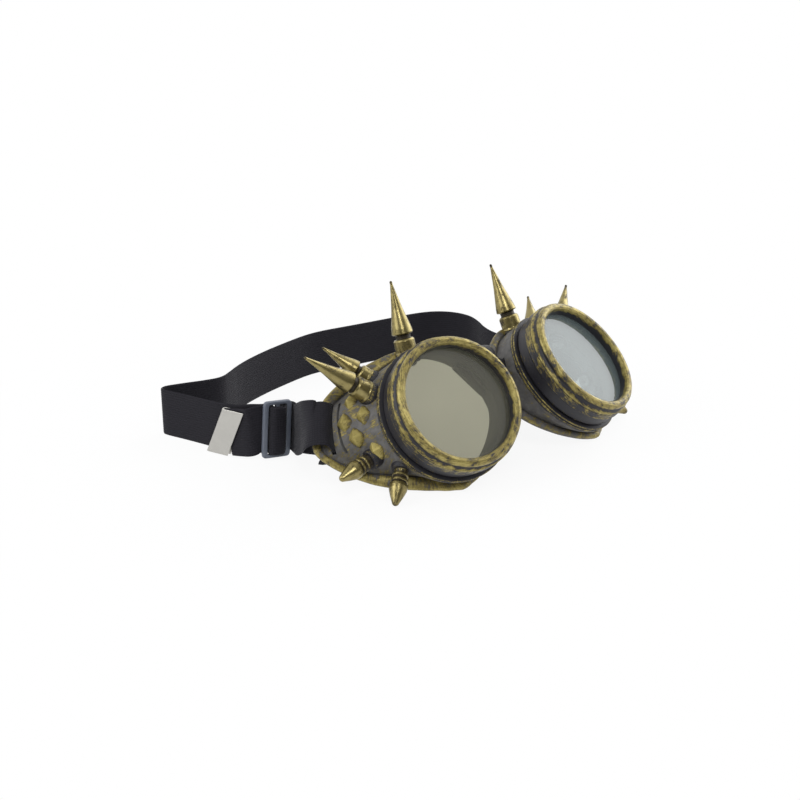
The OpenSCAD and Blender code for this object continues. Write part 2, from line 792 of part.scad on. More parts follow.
eyecup(RIGHT);  // right_eyecup
lens_ring(RIGHT);  // right_lens_ring
lens(RIGHT);  // right_lens
lens_gasket(RIGHT);  // right_lens_gasket
cone_spike(RIGHT, SPIKE_SEATS[0], 6.1, 1.9);  // right_top_spike
cone_spike(RIGHT, SPIKE_SEATS[1], 6.1, 1.9);  // right_side_spike_front
cone_spike(RIGHT, SPIKE_SEATS[2], 4.5, 1.5);  // right_side_spike_rear
bullet_stud(RIGHT, SPIKE_SEATS[3]);  // right_cheek_bullet_outer
bullet_stud(RIGHT, SPIKE_SEATS[4]);  // right_cheek_bullet_inner
spike_screws(RIGHT);  // right_spike_screws
eyecup(LEFT);  // left_eyecup
lens_ring(LEFT);  // left_lens_ring
lens(LEFT);  // left_lens
lens_gasket(LEFT);  // left_lens_gasket
cone_spike(LEFT, SPIKE_SEATS[0], 6.1, 1.9);  // left_top_spike
cone_spike(LEFT, SPIKE_SEATS[1], 6.1, 1.9);  // left_side_spike_front
cone_spike(LEFT, SPIKE_SEATS[2], 4.5, 1.5);  // left_side_spike_rear
bullet_stud(LEFT, SPIKE_SEATS[3]);  // left_cheek_bullet_outer
bullet_stud(LEFT, SPIKE_SEATS[4]);  // left_cheek_bullet_inner
spike_screws(LEFT);  // left_spike_screws
nose_bridge();
elastic_strap();
strap_slider();
strap_end_clip();
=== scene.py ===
"""Looks of a pair of round-cup goggles with spikes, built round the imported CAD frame.

Lengths in this file are millimetres, as in the part's source, until a mesh is made in metres.
"""

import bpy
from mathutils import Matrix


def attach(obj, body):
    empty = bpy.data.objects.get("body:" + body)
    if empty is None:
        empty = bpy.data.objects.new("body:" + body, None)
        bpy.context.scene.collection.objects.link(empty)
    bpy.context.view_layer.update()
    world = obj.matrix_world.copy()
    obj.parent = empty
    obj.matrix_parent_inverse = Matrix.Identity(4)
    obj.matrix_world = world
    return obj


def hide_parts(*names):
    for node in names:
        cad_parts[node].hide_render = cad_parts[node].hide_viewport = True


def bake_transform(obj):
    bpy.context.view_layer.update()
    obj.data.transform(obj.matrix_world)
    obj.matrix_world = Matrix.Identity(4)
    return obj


bl_info = {
    "name": "Spiked Goggles",
    "version": (1, 0, 0),
    "blender": (4, 5, 0),
    "location": "View3D > Sidebar > Goggles",
    "description": "Builds the visible pieces of the spiked goggles round their CAD frame",
    "category": "Object",
}

import bmesh
import bpy
import numpy as np
from bpy.props import FloatProperty, FloatVectorProperty, PointerProperty
from mathutils import Vector

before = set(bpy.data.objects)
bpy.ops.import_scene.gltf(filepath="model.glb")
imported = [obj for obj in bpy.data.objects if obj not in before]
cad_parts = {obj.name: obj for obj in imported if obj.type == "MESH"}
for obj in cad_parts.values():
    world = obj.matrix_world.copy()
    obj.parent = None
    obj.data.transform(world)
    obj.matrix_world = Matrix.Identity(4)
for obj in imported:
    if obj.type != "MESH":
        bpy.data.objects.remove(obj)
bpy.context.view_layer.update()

MM = 0.001
RIGHT, LEFT = -1, 1
SIDE_NAME = {RIGHT: "right", LEFT: "left"}

# Pose of the two cups on the table, as in the part's source
FRAME_SHIFT = np.array([-2.1, 60.48, 0.0])
EYE_SPACING = 76.6
LENS_HEIGHT = 36.1
PITCH = {RIGHT: 38.1, LEFT: 45.3}
SPLAY = {RIGHT: 13.3, LEFT: 14.8}

# Camera of the photograph, in the part's own millimetres
CAMERA_AT = np.array([-390.2, -325.4, 216.2])
CAMERA_LOOK = (0.6560, 0.6678, -0.3518)
CAMERA_LENS, CAMERA_SENSOR = 60.3, 36

# The studio is unlit on the camera's side, which shiny metal shows as a dark stripe
STUDIO_DARK = (-0.656, -0.668, 0.352)

# Depths behind the mouth of the lens ring
LENS_D, LENS_T, LENS_RECESS = 50.0, 2.0, 3.0
LENS_BACK = LENS_RECESS + 0.05 + LENS_T
SPIGOT_TOP = LENS_BACK + 0.85
MOUTH_R = 23.0
LIP_H = 1.5
BAND_R, BAND_FRONT, BAND_REAR = 27.5, 2.5, 6.5
SKIRT_R, RING_LEN = 27.0, 12.0
BORE_R = 26.0
SPIGOT_R, SPIGOT_BORE_R = 25.9, 24.0
THREAD_PITCH, THREAD_DEPTH = 2.0, 0.45
COLLAR_R, COLLAR_LEN = 28.6, 2.4
COLLAR_FRONT = RING_LEN + 0.5
COLLAR_BACK = COLLAR_FRONT + COLLAR_LEN
WALL_START = COLLAR_BACK + 0.7
WALL_TOP_R, WALL_T = 28.2, 2.0

# Share of gold taken off the side towards the nose, which renders darker there
NOSE_BARE = 0.24

# Flange outline and depth
REACH_TEMPLE, REACH_NOSE, REACH_BROW, REACH_CHEEK = 50.0, 31.5, 31.5, 30.3
FLANGE_DEPTH, TEMPLE_DROP, FLANGE_T = 21.5, 10.0, 2.0
BROW_LEAN, NOSE_DROP, LEAN_SPAN, SWEEP_LEN = 2.5, 2.8, 31, 38.0
RIM_W, RIM_H, CORNER_W = 3.2, 0.8, 2.6
WALL_HOLLOW = 0.15

# Strap, its slots and the slider
STRAP_W, STRAP_T, SOFT_GAP = 20.7, 1.0, 0.3
SLOT_LEN, SLOT_W, SLOT_BAR = 21.6, 1.6, 1.6
# The empty inner slot is moulded narrower and slants through the flange, so it reads as a dark line
INNER_SLOT_W, INNER_SLOT_SLANT = 1.0, 0.3
SLOT_AT = np.array([39.97, 8.13, -28.54])
SLOT_TURN = (-23.3, 41.0, 6.35)
SLOT_SKEW = 4.0
SLIDER_AT = np.array([-70.95, 72.6, 0.5])
SLIDER_TURN, SLIDER_LEAN = -15.3, 4.0
SLIDER_H, SLIDER_LEN, SLIDER_BAR, SLIDER_MID, SLIDER_T = 24.4, 12.4, 2.2, 2.0, 2.0
# The strap's loop turns from the slider down to the slot
CLIP_AT = np.array([-83.37, 88.88, 10.5])
CLIP_HEADING, CLIP_SLANT = 104.5, 24.3
CLIP_LEN, CLIP_H, CLIP_SHEET, CLIP_GAP = 11.2, 20.4, 0.5, 1.4

# The elastic's cross threads in millimetres, and the scale at which a Wave texture's bands are 1 mm apart
THREAD_SPACING, WAVE_TO_MM = 0.55, 2 * np.pi / 20

# Nose bridge
NOSE_AZ, NOSE_DEPTH = -58.0, 20.8
BRIDGE_W, BRIDGE_T, BRIDGE_END_W = 12.0, 2.0, 16.0

# Spikes: azimuth, share down the wall, rise, turn, clamped thickness, stand-off, diameter, length
SEATS = {
    "top_spike": (5.6, 0.68, 20, -1.3, 4, 0.6, 8.7, 29.6),
    "side_spike_front": (60, 0.2, 12, -5, 6, 1.4, 8.7, 29.6),
    "side_spike_rear": (43, 0.62, 1, 1, 5.5, 1, 7.2, 22),
    "cheek_bullet_outer": (106.3, 0.5, 1.5, 1.8, 6.5, 1.8, 7.3, 15),
    "cheek_bullet_inner": (126, 0.34, 4, 21.5, 4.5, 0.8, 7.3, 15),
}
SCREW_HEAD_R, SCREW_HEAD_H = 2.7, 1.6
# Pointed studs moulded on the wall, as azimuth and share down it
STUDS = ((64.7, 0.57), (76.7, 0.23), (79.1, 0.56), (90, 0.4), (103.2, 0.27))
STUD_L, STUD_W, STUD_H = 6.4, 8.2, 2.5
# Barrel and neck of the short rear spikes, and of the others
SLIM_SPIKE, TALL_SPIKE = (4.5, 1.5), (6.1, 1.9)
# Share of the light that each lens passes; the rest scatters as a haze in the lens's tint, which on the left
# lens is a painted reflection
LENS_CLEAR_AND_PAINTED_REFLECTION = {RIGHT: 0.86, LEFT: 0.72}

# Stitches of the sewn end: rows along y, faces of the strap along x with their outward sign, heights
STITCH_ROWS, STITCH_FACES = (67.5, 71.5), ((71.35, 1), (68.65, -1))
STITCH_LOW, STITCH_TOP, STITCH_PITCH = 2.2, 18.6, 1.5
STITCH_LEN, STITCH_R, STITCH_RISE = 1.1, 0.16, 0.18

# Lamps: name, place and size in metres, power in watts
LAMPS = (
    ("key", (-0.5, -0.7, 0.9), 0.5, 5.0),
    ("right_soft_box", (0.95, -0.14, 0.53), 1.2, 9.0),
    ("left_soft_box", (-0.9, 0.24, 0.6), 0.8, 5.0),
)
# Half the floor's width and its depth under the goggles, in metres
FLOOR_HALF, FLOOR_DROP = 4, 0.0002


def linear(hex_colour):
    """Linear RGBA of an sRGB hex colour.

    Each channel c becomes c / 12.92 up to 0.04045, and ((c + 0.055) / 1.055)^2.4 above that.
    """
    c = np.array([int(hex_colour[i : i + 2], 16) / 255 for i in (1, 3, 5)])
    low, high = c / 12.92, ((c + 0.055) / 1.055) ** 2.4
    return (*np.where(c <= 0.04045, low, high).tolist(), 1.0)


def length_property(name, description, default, low, high):
    """A property that holds a length in millimetres."""
    text = f"{description}, in millimetres"
    return FloatProperty(name=name, description=text, default=default, min=low, max=high)


class GogglesSizes(bpy.types.PropertyGroup):
    """Sizes of the surface detail."""

    hammer_depth: length_property(
        "Hammering", "Depth of the uneven, hammered look of the cup walls", 0.16, 0.0, 0.4
    )
    rib_pitch: length_property("Rib pitch", "Spacing of the ribs woven along the elastic", 1.05, 0.6, 2.0)
    rib_depth: length_property("Rib depth", "Depth of the ribs of the elastic", 0.13, 0.0, 0.15)


def colour_property(name, description, hex_colour):
    """A colour property whose default is an sRGB hex colour made linear."""
    return FloatVectorProperty(
        name=name,
        description=description,
        subtype="COLOR",
        size=4,
        min=0.0,
        max=1.0,
        default=linear(hex_colour),
    )


class GogglesColours(bpy.types.PropertyGroup):
    """Colours of the finishes."""

    gold: colour_property("Gold", "Bright antique gold on raised edges", "#A69859")
    deep_gold: colour_property("Deep gold", "Thin gold where the brush ran dry", "#574B25")
    black: colour_property("Black", "Black plastic under the gold", "#1D1C22")
    grey: colour_property("Grey", "Rubbed grey of the cup walls", "#6F6D69")
    elastic: colour_property("Elastic", "Black of the woven elastic", "#111015")
    slider: colour_property("Slider", "Dark grey nylon of the slider", "#565B65")
    nickel: colour_property("Nickel", "Nickel plate of the strap's end clip", "#C9C7C1")
    rubber: colour_property("Rubber", "Black rubber of bridge and gaskets", "#1D1C1F")
    plate: colour_property("Plate", "Bright antique plate of spikes and bullets", "#B0A36F")
    right_lens: colour_property("Right lens", "Smoke tint of the right lens", "#A5A38F")
    # The left lens's bluer tint is a painted reflection; the right lens's tint is its smoke
    left_lens: colour_property("Left lens", "Smoke tint of the left lens", "#9CAAA9")


def sizes():
    return bpy.context.scene.goggles_sizes


def colours():
    return bpy.context.scene.goggles_colours


def cosd(a):
    return np.cos(np.radians(a))


def sind(a):
    return np.sin(np.radians(a))


def full_turn(steps, closed=0):
    """Angles in radians, evenly round a full turn; with closed=1 the last is the first again."""
    return np.arange(steps + closed) * 2 * np.pi / steps


def signed_power(x, power):
    return np.sign(x) * np.abs(x) ** power


def ramp(x, width):
    """0 up to x = 0, 1 from x = width on, and straight between."""
    return np.clip(x / width, 0, 1)


def stacked(*parts):
    """Coordinates brought to one shape and stacked on a last axis."""
    return np.stack(np.broadcast_arrays(*parts), axis=-1)


def turned(p, axis, degrees):
    """Points turned about the x, y or z axis by the right-hand rule; axis is 0, 1 or 2."""
    p = np.asarray(p, float)
    i, j = (axis + 1) % 3, (axis + 2) % 3
    out = p.copy()
    out[..., i] = p[..., i] * cosd(degrees) - p[..., j] * sind(degrees)
    out[..., j] = p[..., i] * sind(degrees) + p[..., j] * cosd(degrees)
    return out


def cup_dir(side, d):
    """A direction of the cup's own frame in the object's frame: x towards the temple, z out of the lens."""
    d = np.asarray(d, float) * [side, 1, 1]
    return turned(turned(d, 0, 90 - PITCH[side]), 2, side * SPLAY[side])


def in_world(side, p):
    return cup_dir(side, p) + [side * EYE_SPACING / 2, 0, LENS_HEIGHT]


def from_cup(side, p):
    """Points of the cup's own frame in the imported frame."""
    return in_world(side, p) - FRAME_SHIFT


def cut_corners(rows, times=1, closed=False):
    """Chaikin's rule on the first axis: each step keeps the quarter and three-quarter points of each side."""
    for _ in range(times):
        nxt = np.roll(rows, -1, axis=0) if closed else rows[1:]
        now = rows if closed else rows[:-1]
        pair = np.stack([now * 0.75 + nxt * 0.25, now * 0.25 + nxt * 0.75], axis=1)
        pair = pair.reshape(-1, *rows.shape[1:])
        rows = pair if closed else np.concatenate([rows[:1], pair, rows[-1:]])
    return rows


def rounded(rows, radius, closed=True):
    """A profile with corners cut at `radius` along each side, at most 0.4 of that side, then smoothed."""
    rows = np.asarray(rows, float)
    nxt, prv = np.roll(rows, -1, axis=0), np.roll(rows, 1, axis=0)

    def towards(other):
        step = other - rows
        length = np.linalg.norm(step[:, :2], axis=1, keepdims=True) + 1e-9
        return rows + step * np.minimum(radius / length, 0.4)

    pair = np.stack([towards(prv), rows, towards(nxt)], axis=1).reshape(-1, rows.shape[1])
    if not closed:
        pair = pair[1:-1]
    return cut_corners(pair, 2, closed)


def refined(rows, step, closed=True):
    """The same profile with extra points so that no side is longer than `step`."""
    ends = np.roll(rows, -1, axis=0) if closed else np.vstack([rows[1:], rows[-1:]])
    out = []
    for a, b in zip(rows, ends):
        n = max(int(np.ceil(np.linalg.norm((b - a)[:2]) / step)), 1)
        out.append(a + (b - a) * np.arange(n)[:, None] / n)
    return np.vstack(out)


def waves(p, length, seed):
    """Smooth random field, mostly from -1 to 1: twice the mean of 14 plane waves.

    Each wave is 0.7 to 1.5 times as long as the given length, in millimetres.
    """
    draw = np.random.default_rng(seed)
    k = draw.normal(size=(14, 3))
    k *= (2 * np.pi / (length * draw.uniform(0.7, 1.5, 14)) / np.linalg.norm(k, axis=1))[:, None]
    shift = draw.uniform(0, 2 * np.pi, 14)
    return np.sin(np.einsum("...i,ki->...k", p, k) + shift).mean(axis=-1) * 2


def surface(points, uv, gild, wrap):
    """A grid of points with its map in millimetres and its share of gold and painted light; wrap says which
    ways it closes.
    """
    gild = np.broadcast_to(np.asarray(gild, float), points.shape[:2])
    return points, uv, gild, wrap


def build(name, surfaces, material, sharp=50):
    """One mesh object of several grids, welded at seams and poles, with its faces pointing out."""
    verts, quads, maps, gilt_and_painted_light_lists = [], [], [], []
    base = 0
    for points, uv, gild, wrap in surfaces:
        nu, nv = points.shape[:2]
        i, j = np.meshgrid(
            np.arange(nu if wrap[0] else nu - 1), np.arange(nv if wrap[1] else nv - 1), indexing="ij"
        )
        i, j = i.ravel(), j.ravel()
        corners = [(i, j), (i + 1, j), (i + 1, j + 1), (i, j + 1)]
        quads.append(np.stack([base + (a % nu) * nv + b % nv for a, b in corners], axis=1))
        maps.append(np.stack([uv[a, b] for a, b in corners], axis=1))
        verts.append(points.reshape(-1, 3))
        gilt_and_painted_light_lists.append(gild.ravel())
        base += nu * nv
    verts, quads = np.vstack(verts) * MM, np.vstack(quads)
    mesh = bpy.data.meshes.new(name)
    mesh.vertices.add(len(verts))
    mesh.vertices.foreach_set("co", verts.ravel())
    mesh.loops.add(quads.size)
    mesh.loops.foreach_set("vertex_index", quads.ravel().astype(np.int32))
    mesh.polygons.add(len(quads))
    mesh.polygons.foreach_set("loop_start", np.arange(0, quads.size, 4, dtype=np.int32))
    mesh.update(calc_edges=True)
    layer = mesh.uv_layers.new(name="mm")
    layer.data.foreach_set("uv", np.vstack(maps).reshape(-1).astype(np.float32))
    attribute = mesh.attributes.new("gild", "FLOAT", "POINT")
    attribute.data.foreach_set("value", np.concatenate(gilt_and_painted_light_lists).astype(np.float32))
    work = bmesh.new()
    work.from_mesh(mesh)
    bmesh.ops.remove_doubles(work, verts=work.verts, dist=2e-6)
    bmesh.ops.dissolve_degenerate(work, edges=work.edges, dist=1e-7)
    bmesh.ops.recalc_face_normals(work, faces=work.faces)
    work.to_mesh(mesh)
    work.free()
    mesh.validate()
    mesh.shade_smooth()
    mesh.set_sharp_from_angle(angle=np.radians(sharp))
    obj = bpy.data.objects.new(name, mesh)
    bpy.context.scene.collection.objects.link(obj)
    mesh.materials.append(material)
    return obj


def finished(obj):
    """The object with its modifiers applied to a new mesh."""
    graph = bpy.context.evaluated_depsgraph_get()
    mesh = bpy.data.meshes.new_from_object(obj.evaluated_get(graph))
    obj.modifiers.clear()
    obj.data = mesh
    return obj


def box_mesh(name, corners):
    """A closed box from its 8 corners, ordered with the last coordinate running fastest."""
    faces = [(0, 1, 3, 2), (4, 6, 7, 5), (0, 4, 5, 1), (2, 3, 7, 6), (0, 2, 6, 4), (1, 5, 7, 3)]
    mesh = bpy.data.meshes.new(name)
    mesh.from_pydata([tuple(c) for c in corners * MM], [], faces)
    work = bmesh.new()
    work.from_mesh(mesh)
    bmesh.ops.recalc_face_normals(work, faces=work.faces)
    work.to_mesh(mesh)
    work.free()
    obj = bpy.data.objects.new(name, mesh)
    bpy.context.scene.collection.objects.link(obj)
    return obj


def cut(obj, cutters):
    """Takes the cutters' space out of obj and removes them."""
    for cutter in cutters:
        modifier = obj.modifiers.new("cut", "BOOLEAN")
        modifier.operation = "DIFFERENCE"
        modifier.solver = "EXACT"
        modifier.object = cutter
    finished(obj)
    for cutter in cutters:
        bpy.data.objects.remove(cutter)
    return obj


def revolve(profile, steps, place, thread=None):
    """Rows of (radius, height, gold and painted light) turned about z: the point at angle q is (r cos q, r
    sin q, z).
    """
    q = full_turn(steps, 1)
    r, z, gild = profile[:, 0], profile[:, 1], profile[:, 2]
    radius = np.broadcast_to(r, (steps + 1, len(r))).copy()
    if thread is not None:
        radius = radius - thread(q[:, None], z[None, :], r[None, :])
    points = stacked(radius * np.cos(q)[:, None], radius * np.sin(q)[:, None], z)
    run = np.concatenate([[0], np.cumsum(np.hypot(np.diff(r), np.diff(z)))])
    uv = stacked(q[:, None] * max(r.max(), 0.1), run)
    return surface(place(points[:-1]), uv, gild, (True, False))


def ring_revolve(profile, steps, place, thread=None):
    """As revolve, for a profile that closes on itself."""
    profile = np.vstack([profile, profile[:1]])
    return revolve(profile, steps, place, thread)


def feed(tree, socket, value):
    """Links a node's output to the socket, or sets the socket to a plain value."""
    if isinstance(value, bpy.types.NodeSocket):
        tree.links.new(value, socket)
    else:
        socket.default_value = value


def add(tree, kind, inputs=None, **settings):
    """Adds a node, sets its settings, and feeds its inputs, given by name or number."""
    item = tree.nodes.new(kind)
    for key, value in settings.items():
        setattr(item, key, value)
    for key, value in (inputs or {}).items():
        feed(tree, item.inputs[key], value)
    return item


def material(name):
    """A new material with its tree and its Principled shader."""
    made = bpy.data.materials.new(name)
    made.use_nodes = True
    tree = made.node_tree
    return made, tree, tree.nodes["Principled BSDF"]


def set_shader(tree, shader, **inputs):
    """Feeds the Principled shader's sockets; names have _ for spaces."""
    for key, value in inputs.items():
        feed(tree, shader.inputs[key.replace("_", " ")], value)


def bumped(tree, shader, height, strength, distance):
    """Gives the shader a bump that stands `distance` metres out where the height is 1."""
    bump = add(tree, "ShaderNodeBump", {"Height": height, "Strength": strength, "Distance": distance})
    set_shader(tree, shader, Normal=bump.outputs[0])


def math_node(tree, operation, a, b, clamp=False):
    return add(tree, "ShaderNodeMath", {0: a, 1: b}, operation=operation, use_clamp=clamp).outputs[0]


def times(tree, a, b, clamp=False):
    return math_node(tree, "MULTIPLY", a, b, clamp)


def plus(tree, a, b, clamp=False):
    return math_node(tree, "ADD", a, b, clamp)


def minus(tree, a, b):
    return math_node(tree, "SUBTRACT", a, b)


def mixed(tree, share, a, b):
    """A colour that goes from a to b as the share goes from 0 to 1."""
    node = add(tree, "ShaderNodeMix", {"Factor": share}, data_type="RGBA")
    feed(tree, node.inputs[6], a)
    feed(tree, node.inputs[7], b)
    return node.outputs[2]


def noise(tree, vector, scale, detail, rough):
    inputs = {"Vector": vector, "Scale": scale, "Detail": detail, "Roughness": rough}
    return add(tree, "ShaderNodeTexNoise", inputs).outputs["Fac"]


def grain(tree, size_mm, detail=3.0, rough=0.6):
    """Noise whose features are about size_mm across, on Object coordinates in metres."""
    where = add(tree, "ShaderNodeTexCoord").outputs["Object"]
    return noise(tree, where, 1 / (size_mm * MM), detail, rough)


def strokes(tree, across_mm, along_mm, turn=0.0):
    """Noise drawn out along the piece's own map: across_mm wide and along_mm long, turned by some radians."""
    uv = add(tree, "ShaderNodeUVMap", uv_map="mm").outputs[0]
    turned_uv = add(tree, "ShaderNodeMapping", {"Vector": uv, "Rotation": (0, 0, turn)}).outputs[0]
    scale = (1 / across_mm, 1 / along_mm, 1)
    drawn = add(tree, "ShaderNodeMapping", {"Vector": turned_uv, "Scale": scale}).outputs[0]
    return noise(tree, drawn, 1.0, 3.0, 0.65)


def worn(tree, total, noises, middle, contrast):
    """The total with its noises, each (noise, weight) counted from one half, and the mask that it cuts out.

    The mask goes from 0 to 1 as the total passes the middle, the faster the higher the contrast.
    """
    for field, weight in noises:
        total = plus(tree, total, times(tree, minus(tree, field, 0.5), weight))
    return total, plus(tree, times(tree, minus(tree, total, middle), contrast), 0.5, clamp=True)


def gilded_plastic(name, under, across=0.45, along=3.5, turn=0.0, cover=0.0, shine=0.42):
    """Moulded ABS, black, with antique gold dragged over it by an almost dry brush.

    The gold stays on what stands out, as the piece's share of gold says, and breaks up in strokes; the
    black shows in grooves. On the studs that share also gives one side more gold and the other less, a
    painted highlight and a painted shade. Gold paint is partly metallic, and the bare plastic has a low
    sheen.
    """
    made, tree, shader = material(name)
    gild = add(tree, "ShaderNodeAttribute", attribute_name="gild").outputs["Fac"]
    fine, cloud, speck = strokes(tree, across, along, turn), grain(tree, 4.0, 6.0, 0.7), grain(tree, 0.7, 2.0)
    total, mask = worn(tree, plus(tree, gild, cover), ((fine, 1.7), (cloud, 2.6), (speck, 0.5)), 0.5, 4.0)
    palette = colours()
    tone = times(tree, minus(tree, total, 0.4), 1.3, clamp=True)
    gold = mixed(tree, tone, tuple(palette.deep_gold), tuple(palette.gold))
    base = mixed(tree, grain(tree, 2.4), tuple(palette.black), tuple(under))
    rough = plus(tree, shine + 0.1, times(tree, fine, 0.12))
    set_shader(
        tree,
        shader,
        Base_Color=mixed(tree, mask, base, gold),
        Metallic=times(tree, mask, 0.5),
        Roughness=minus(tree, rough, times(tree, mask, 0.1)),
    )
    height = plus(tree, times(tree, fine, 0.6), times(tree, cloud, 0.8))
    bumped(tree, shader, plus(tree, height, times(tree, mask, 0.35)), 0.5, 0.00018)
    return made


def antique_plate(name):
    """Zinc alloy plated in antique brass: bright on points, brown patina left in grooves and in specks; in
    the spikes' necks that brown also paints the groove's shade.
    """
    made, tree, shader = material(name)
    gild = add(tree, "ShaderNodeAttribute", attribute_name="gild").outputs["Fac"]
    cloud, speck, scuffs = grain(tree, 5.0, 4.0), grain(tree, 0.6, 2.0), strokes(tree, 0.8, 5.0, 0.3)
    total, mask = worn(tree, gild, ((cloud, 2.2), (speck, 0.8), (scuffs, 1.4)), 0.55, 3.0)
    gold = mixed(tree, cloud, tuple(colours().deep_gold), tuple(colours().plate))
    set_shader(
        tree,
        shader,
        Base_Color=mixed(tree, mask, linear("#2A2210"), gold),
        Metallic=plus(tree, 0.35, times(tree, mask, 0.5)),
        Roughness=minus(tree, 0.5, times(tree, mask, 0.2)),
    )
    bumped(tree, shader, total, 0.3, 0.00008)
    return made


def woven_elastic():
    """Knitted polyester over rubber: matt black, with fine cross threads and a soft sheen; the black is
    lightened in stripes at the rib spacing, a painted highlight on the ribs, and mottled by a random fuzz.
    """
    made, tree, shader = material("woven_elastic")
    uv = add(tree, "ShaderNodeUVMap", uv_map="mm").outputs[0]
    threads = add(
        tree,
        "ShaderNodeTexWave",
        {"Vector": uv, "Scale": WAVE_TO_MM / THREAD_SPACING, "Distortion": 0.6, "Detail": 1.0},
        bands_direction="X",
    ).outputs["Fac"]
    ribs = add(
        tree,
        "ShaderNodeTexWave",
        {"Vector": uv, "Scale": WAVE_TO_MM / sizes().rib_pitch, "Distortion": 0.2},
        bands_direction="Y",
    ).outputs["Fac"]
    fuzz = grain(tree, 0.5)
    black = tuple(colours().elastic)
    # Stripes at the rib spacing lighten the black as a painted highlight on the ribs; the fuzz mottles it at
    # random
    painted_rib_highlight_and_fuzz = tuple(min(c * 2.6, 1.0) for c in black[:3]) + (1.0,)
    share = times(tree, plus(tree, ribs, fuzz), 0.5)
    set_shader(tree, shader, Base_Color=mixed(tree, share, black, painted_rib_highlight_and_fuzz), Roughness=0.85)
    set_shader(tree, shader, Sheen_Weight=0.08, Sheen_Roughness=0.4, Specular_IOR_Level=0.3)
    height = plus(tree, times(tree, threads, 0.6), times(tree, fuzz, 0.8))
    bumped(tree, shader, height, 0.6, 0.00012)
    return made


def moulded(name, colour, roughness, grain_mm, level=0.5):
    """A moulded polymer with a fine spark-eroded grain and slight clouding of its colour."""
    made, tree, shader = material(name)
    fine, cloud = grain(tree, grain_mm), grain(tree, 6.0)
    pale = tuple(min(c * 1.45, 1.0) for c in colour[:3]) + (1.0,)
    rough = plus(tree, roughness - 0.06, times(tree, cloud, 0.12))
    tint = mixed(tree, cloud, tuple(colour), pale)
    set_shader(tree, shader, Base_Color=tint, Roughness=rough, Specular_IOR_Level=level)
    bumped(tree, shader, fine, 0.35, 0.00008)
    return made


def brushed_metal(name, colour, roughness):
    """Nickel-plated steel, brushed along the piece's map: hair lines about 0.15 mm wide."""
    made, tree, shader = material(name)
    lines = strokes(tree, 0.15, 9.0)
    cloud = grain(tree, 4.0)
    dark = tuple(c * 0.72 for c in colour[:3]) + (1.0,)
    share = times(tree, plus(tree, lines, cloud), 0.5)
    rough = plus(tree, roughness - 0.08, times(tree, lines, 0.16))
    tint = mixed(tree, share, dark, tuple(colour))
    set_shader(tree, shader, Base_Color=tint, Metallic=0.9, Roughness=rough)
    bumped(tree, shader, lines, 0.25, 0.00004)
    return made


def smoked_lens(name, tint, clear):
    """Smoked polycarbonate sheet, glossy and tinted through, with a faint uneven smear.

    `clear` is the share of light that passes. The rest scatters as a haze over the dark inside of the cup; on
    the left lens, with its lower share and bluer tint, that haze is a painted reflection.
    """
    made, tree, shader = material(name)
    smear = grain(tree, 14.0, 2.0)
    deeper = tuple(c * 0.93 for c in tint[:3]) + (1.0,)
    set_shader(
        tree,
        shader,
        Base_Color=mixed(tree, smear, deeper, tuple(tint)),
        Roughness=times(tree, smear, 0.05),
        Transmission_Weight=clear,
        IOR=1.45,
    )
    return made


def cup_outline(az):
    """Flange radius at azimuth az: four quarters of superellipses, |sin/a|^e + |cos/b|^e = 1/r^e."""
    s, c = sind(az), cosd(az)
    a = np.where(s > 0, REACH_TEMPLE, REACH_NOSE)
    b = np.where(c > 0, REACH_BROW, REACH_CHEEK)
    e = np.where(c >= 0, 2.0, np.where(s > 0, 1.4, 1.5))
    return ((np.abs(s) / a) ** e + (np.abs(c) / b) ** e) ** (-1 / e)


def flange_depth(r, az):
    """Depth of the flange: a plane that leans back at the brow, with a sweep and a tuck.

    The sweep to the temple goes as a squared sine, and the tuck at the nose as a square of the distance.
    """
    x, y = r * sind(az), r * cosd(az)
    sweep = TEMPLE_DROP * sind(90 * np.clip(x / SWEEP_LEN, 0, 1)) ** 2
    tuck = NOSE_DROP * (np.maximum(-x, 0) / LEAN_SPAN) ** 2
    return FLANGE_DEPTH + BROW_LEAN * y / LEAN_SPAN + sweep + tuck


def border_width(az):
    return RIM_W + np.where(sind(az) > 0, CORNER_W * sind(2 * az) ** 2, 0)


def foot_radius(az):
    return cup_outline(az) - border_width(az)


def wall_profile(az, v):
    """Radius and height of the wall a share v down from the collar; it sags by a parabola on the way."""
    r = WALL_TOP_R + (foot_radius(az) - WALL_TOP_R) * v
    drop = flange_depth(foot_radius(az), az) - WALL_START
    return r, -WALL_START - drop * (v + WALL_HOLLOW * v * (1 - v))


def wall_point(az, v):
    r, z = wall_profile(az, v)
    return np.array([r * sind(az), r * cosd(az), z])


def wall_inset(az):
    """Step from the wall's face to its back, along the section's normal."""
    run = foot_radius(az) - WALL_TOP_R
    drop = flange_depth(foot_radius(az), az) - WALL_START
    return WALL_T * np.array([-drop, -run]) / np.hypot(drop, run)


def at_seat(seat, p):
    """Points of a spike's own frame, z along the spike, in the cup's frame."""
    az, v, rise, turn = seat[:4]
    return turned(turned(p, 0, -90 + rise), 2, -(az + turn)) + wall_point(az, v)


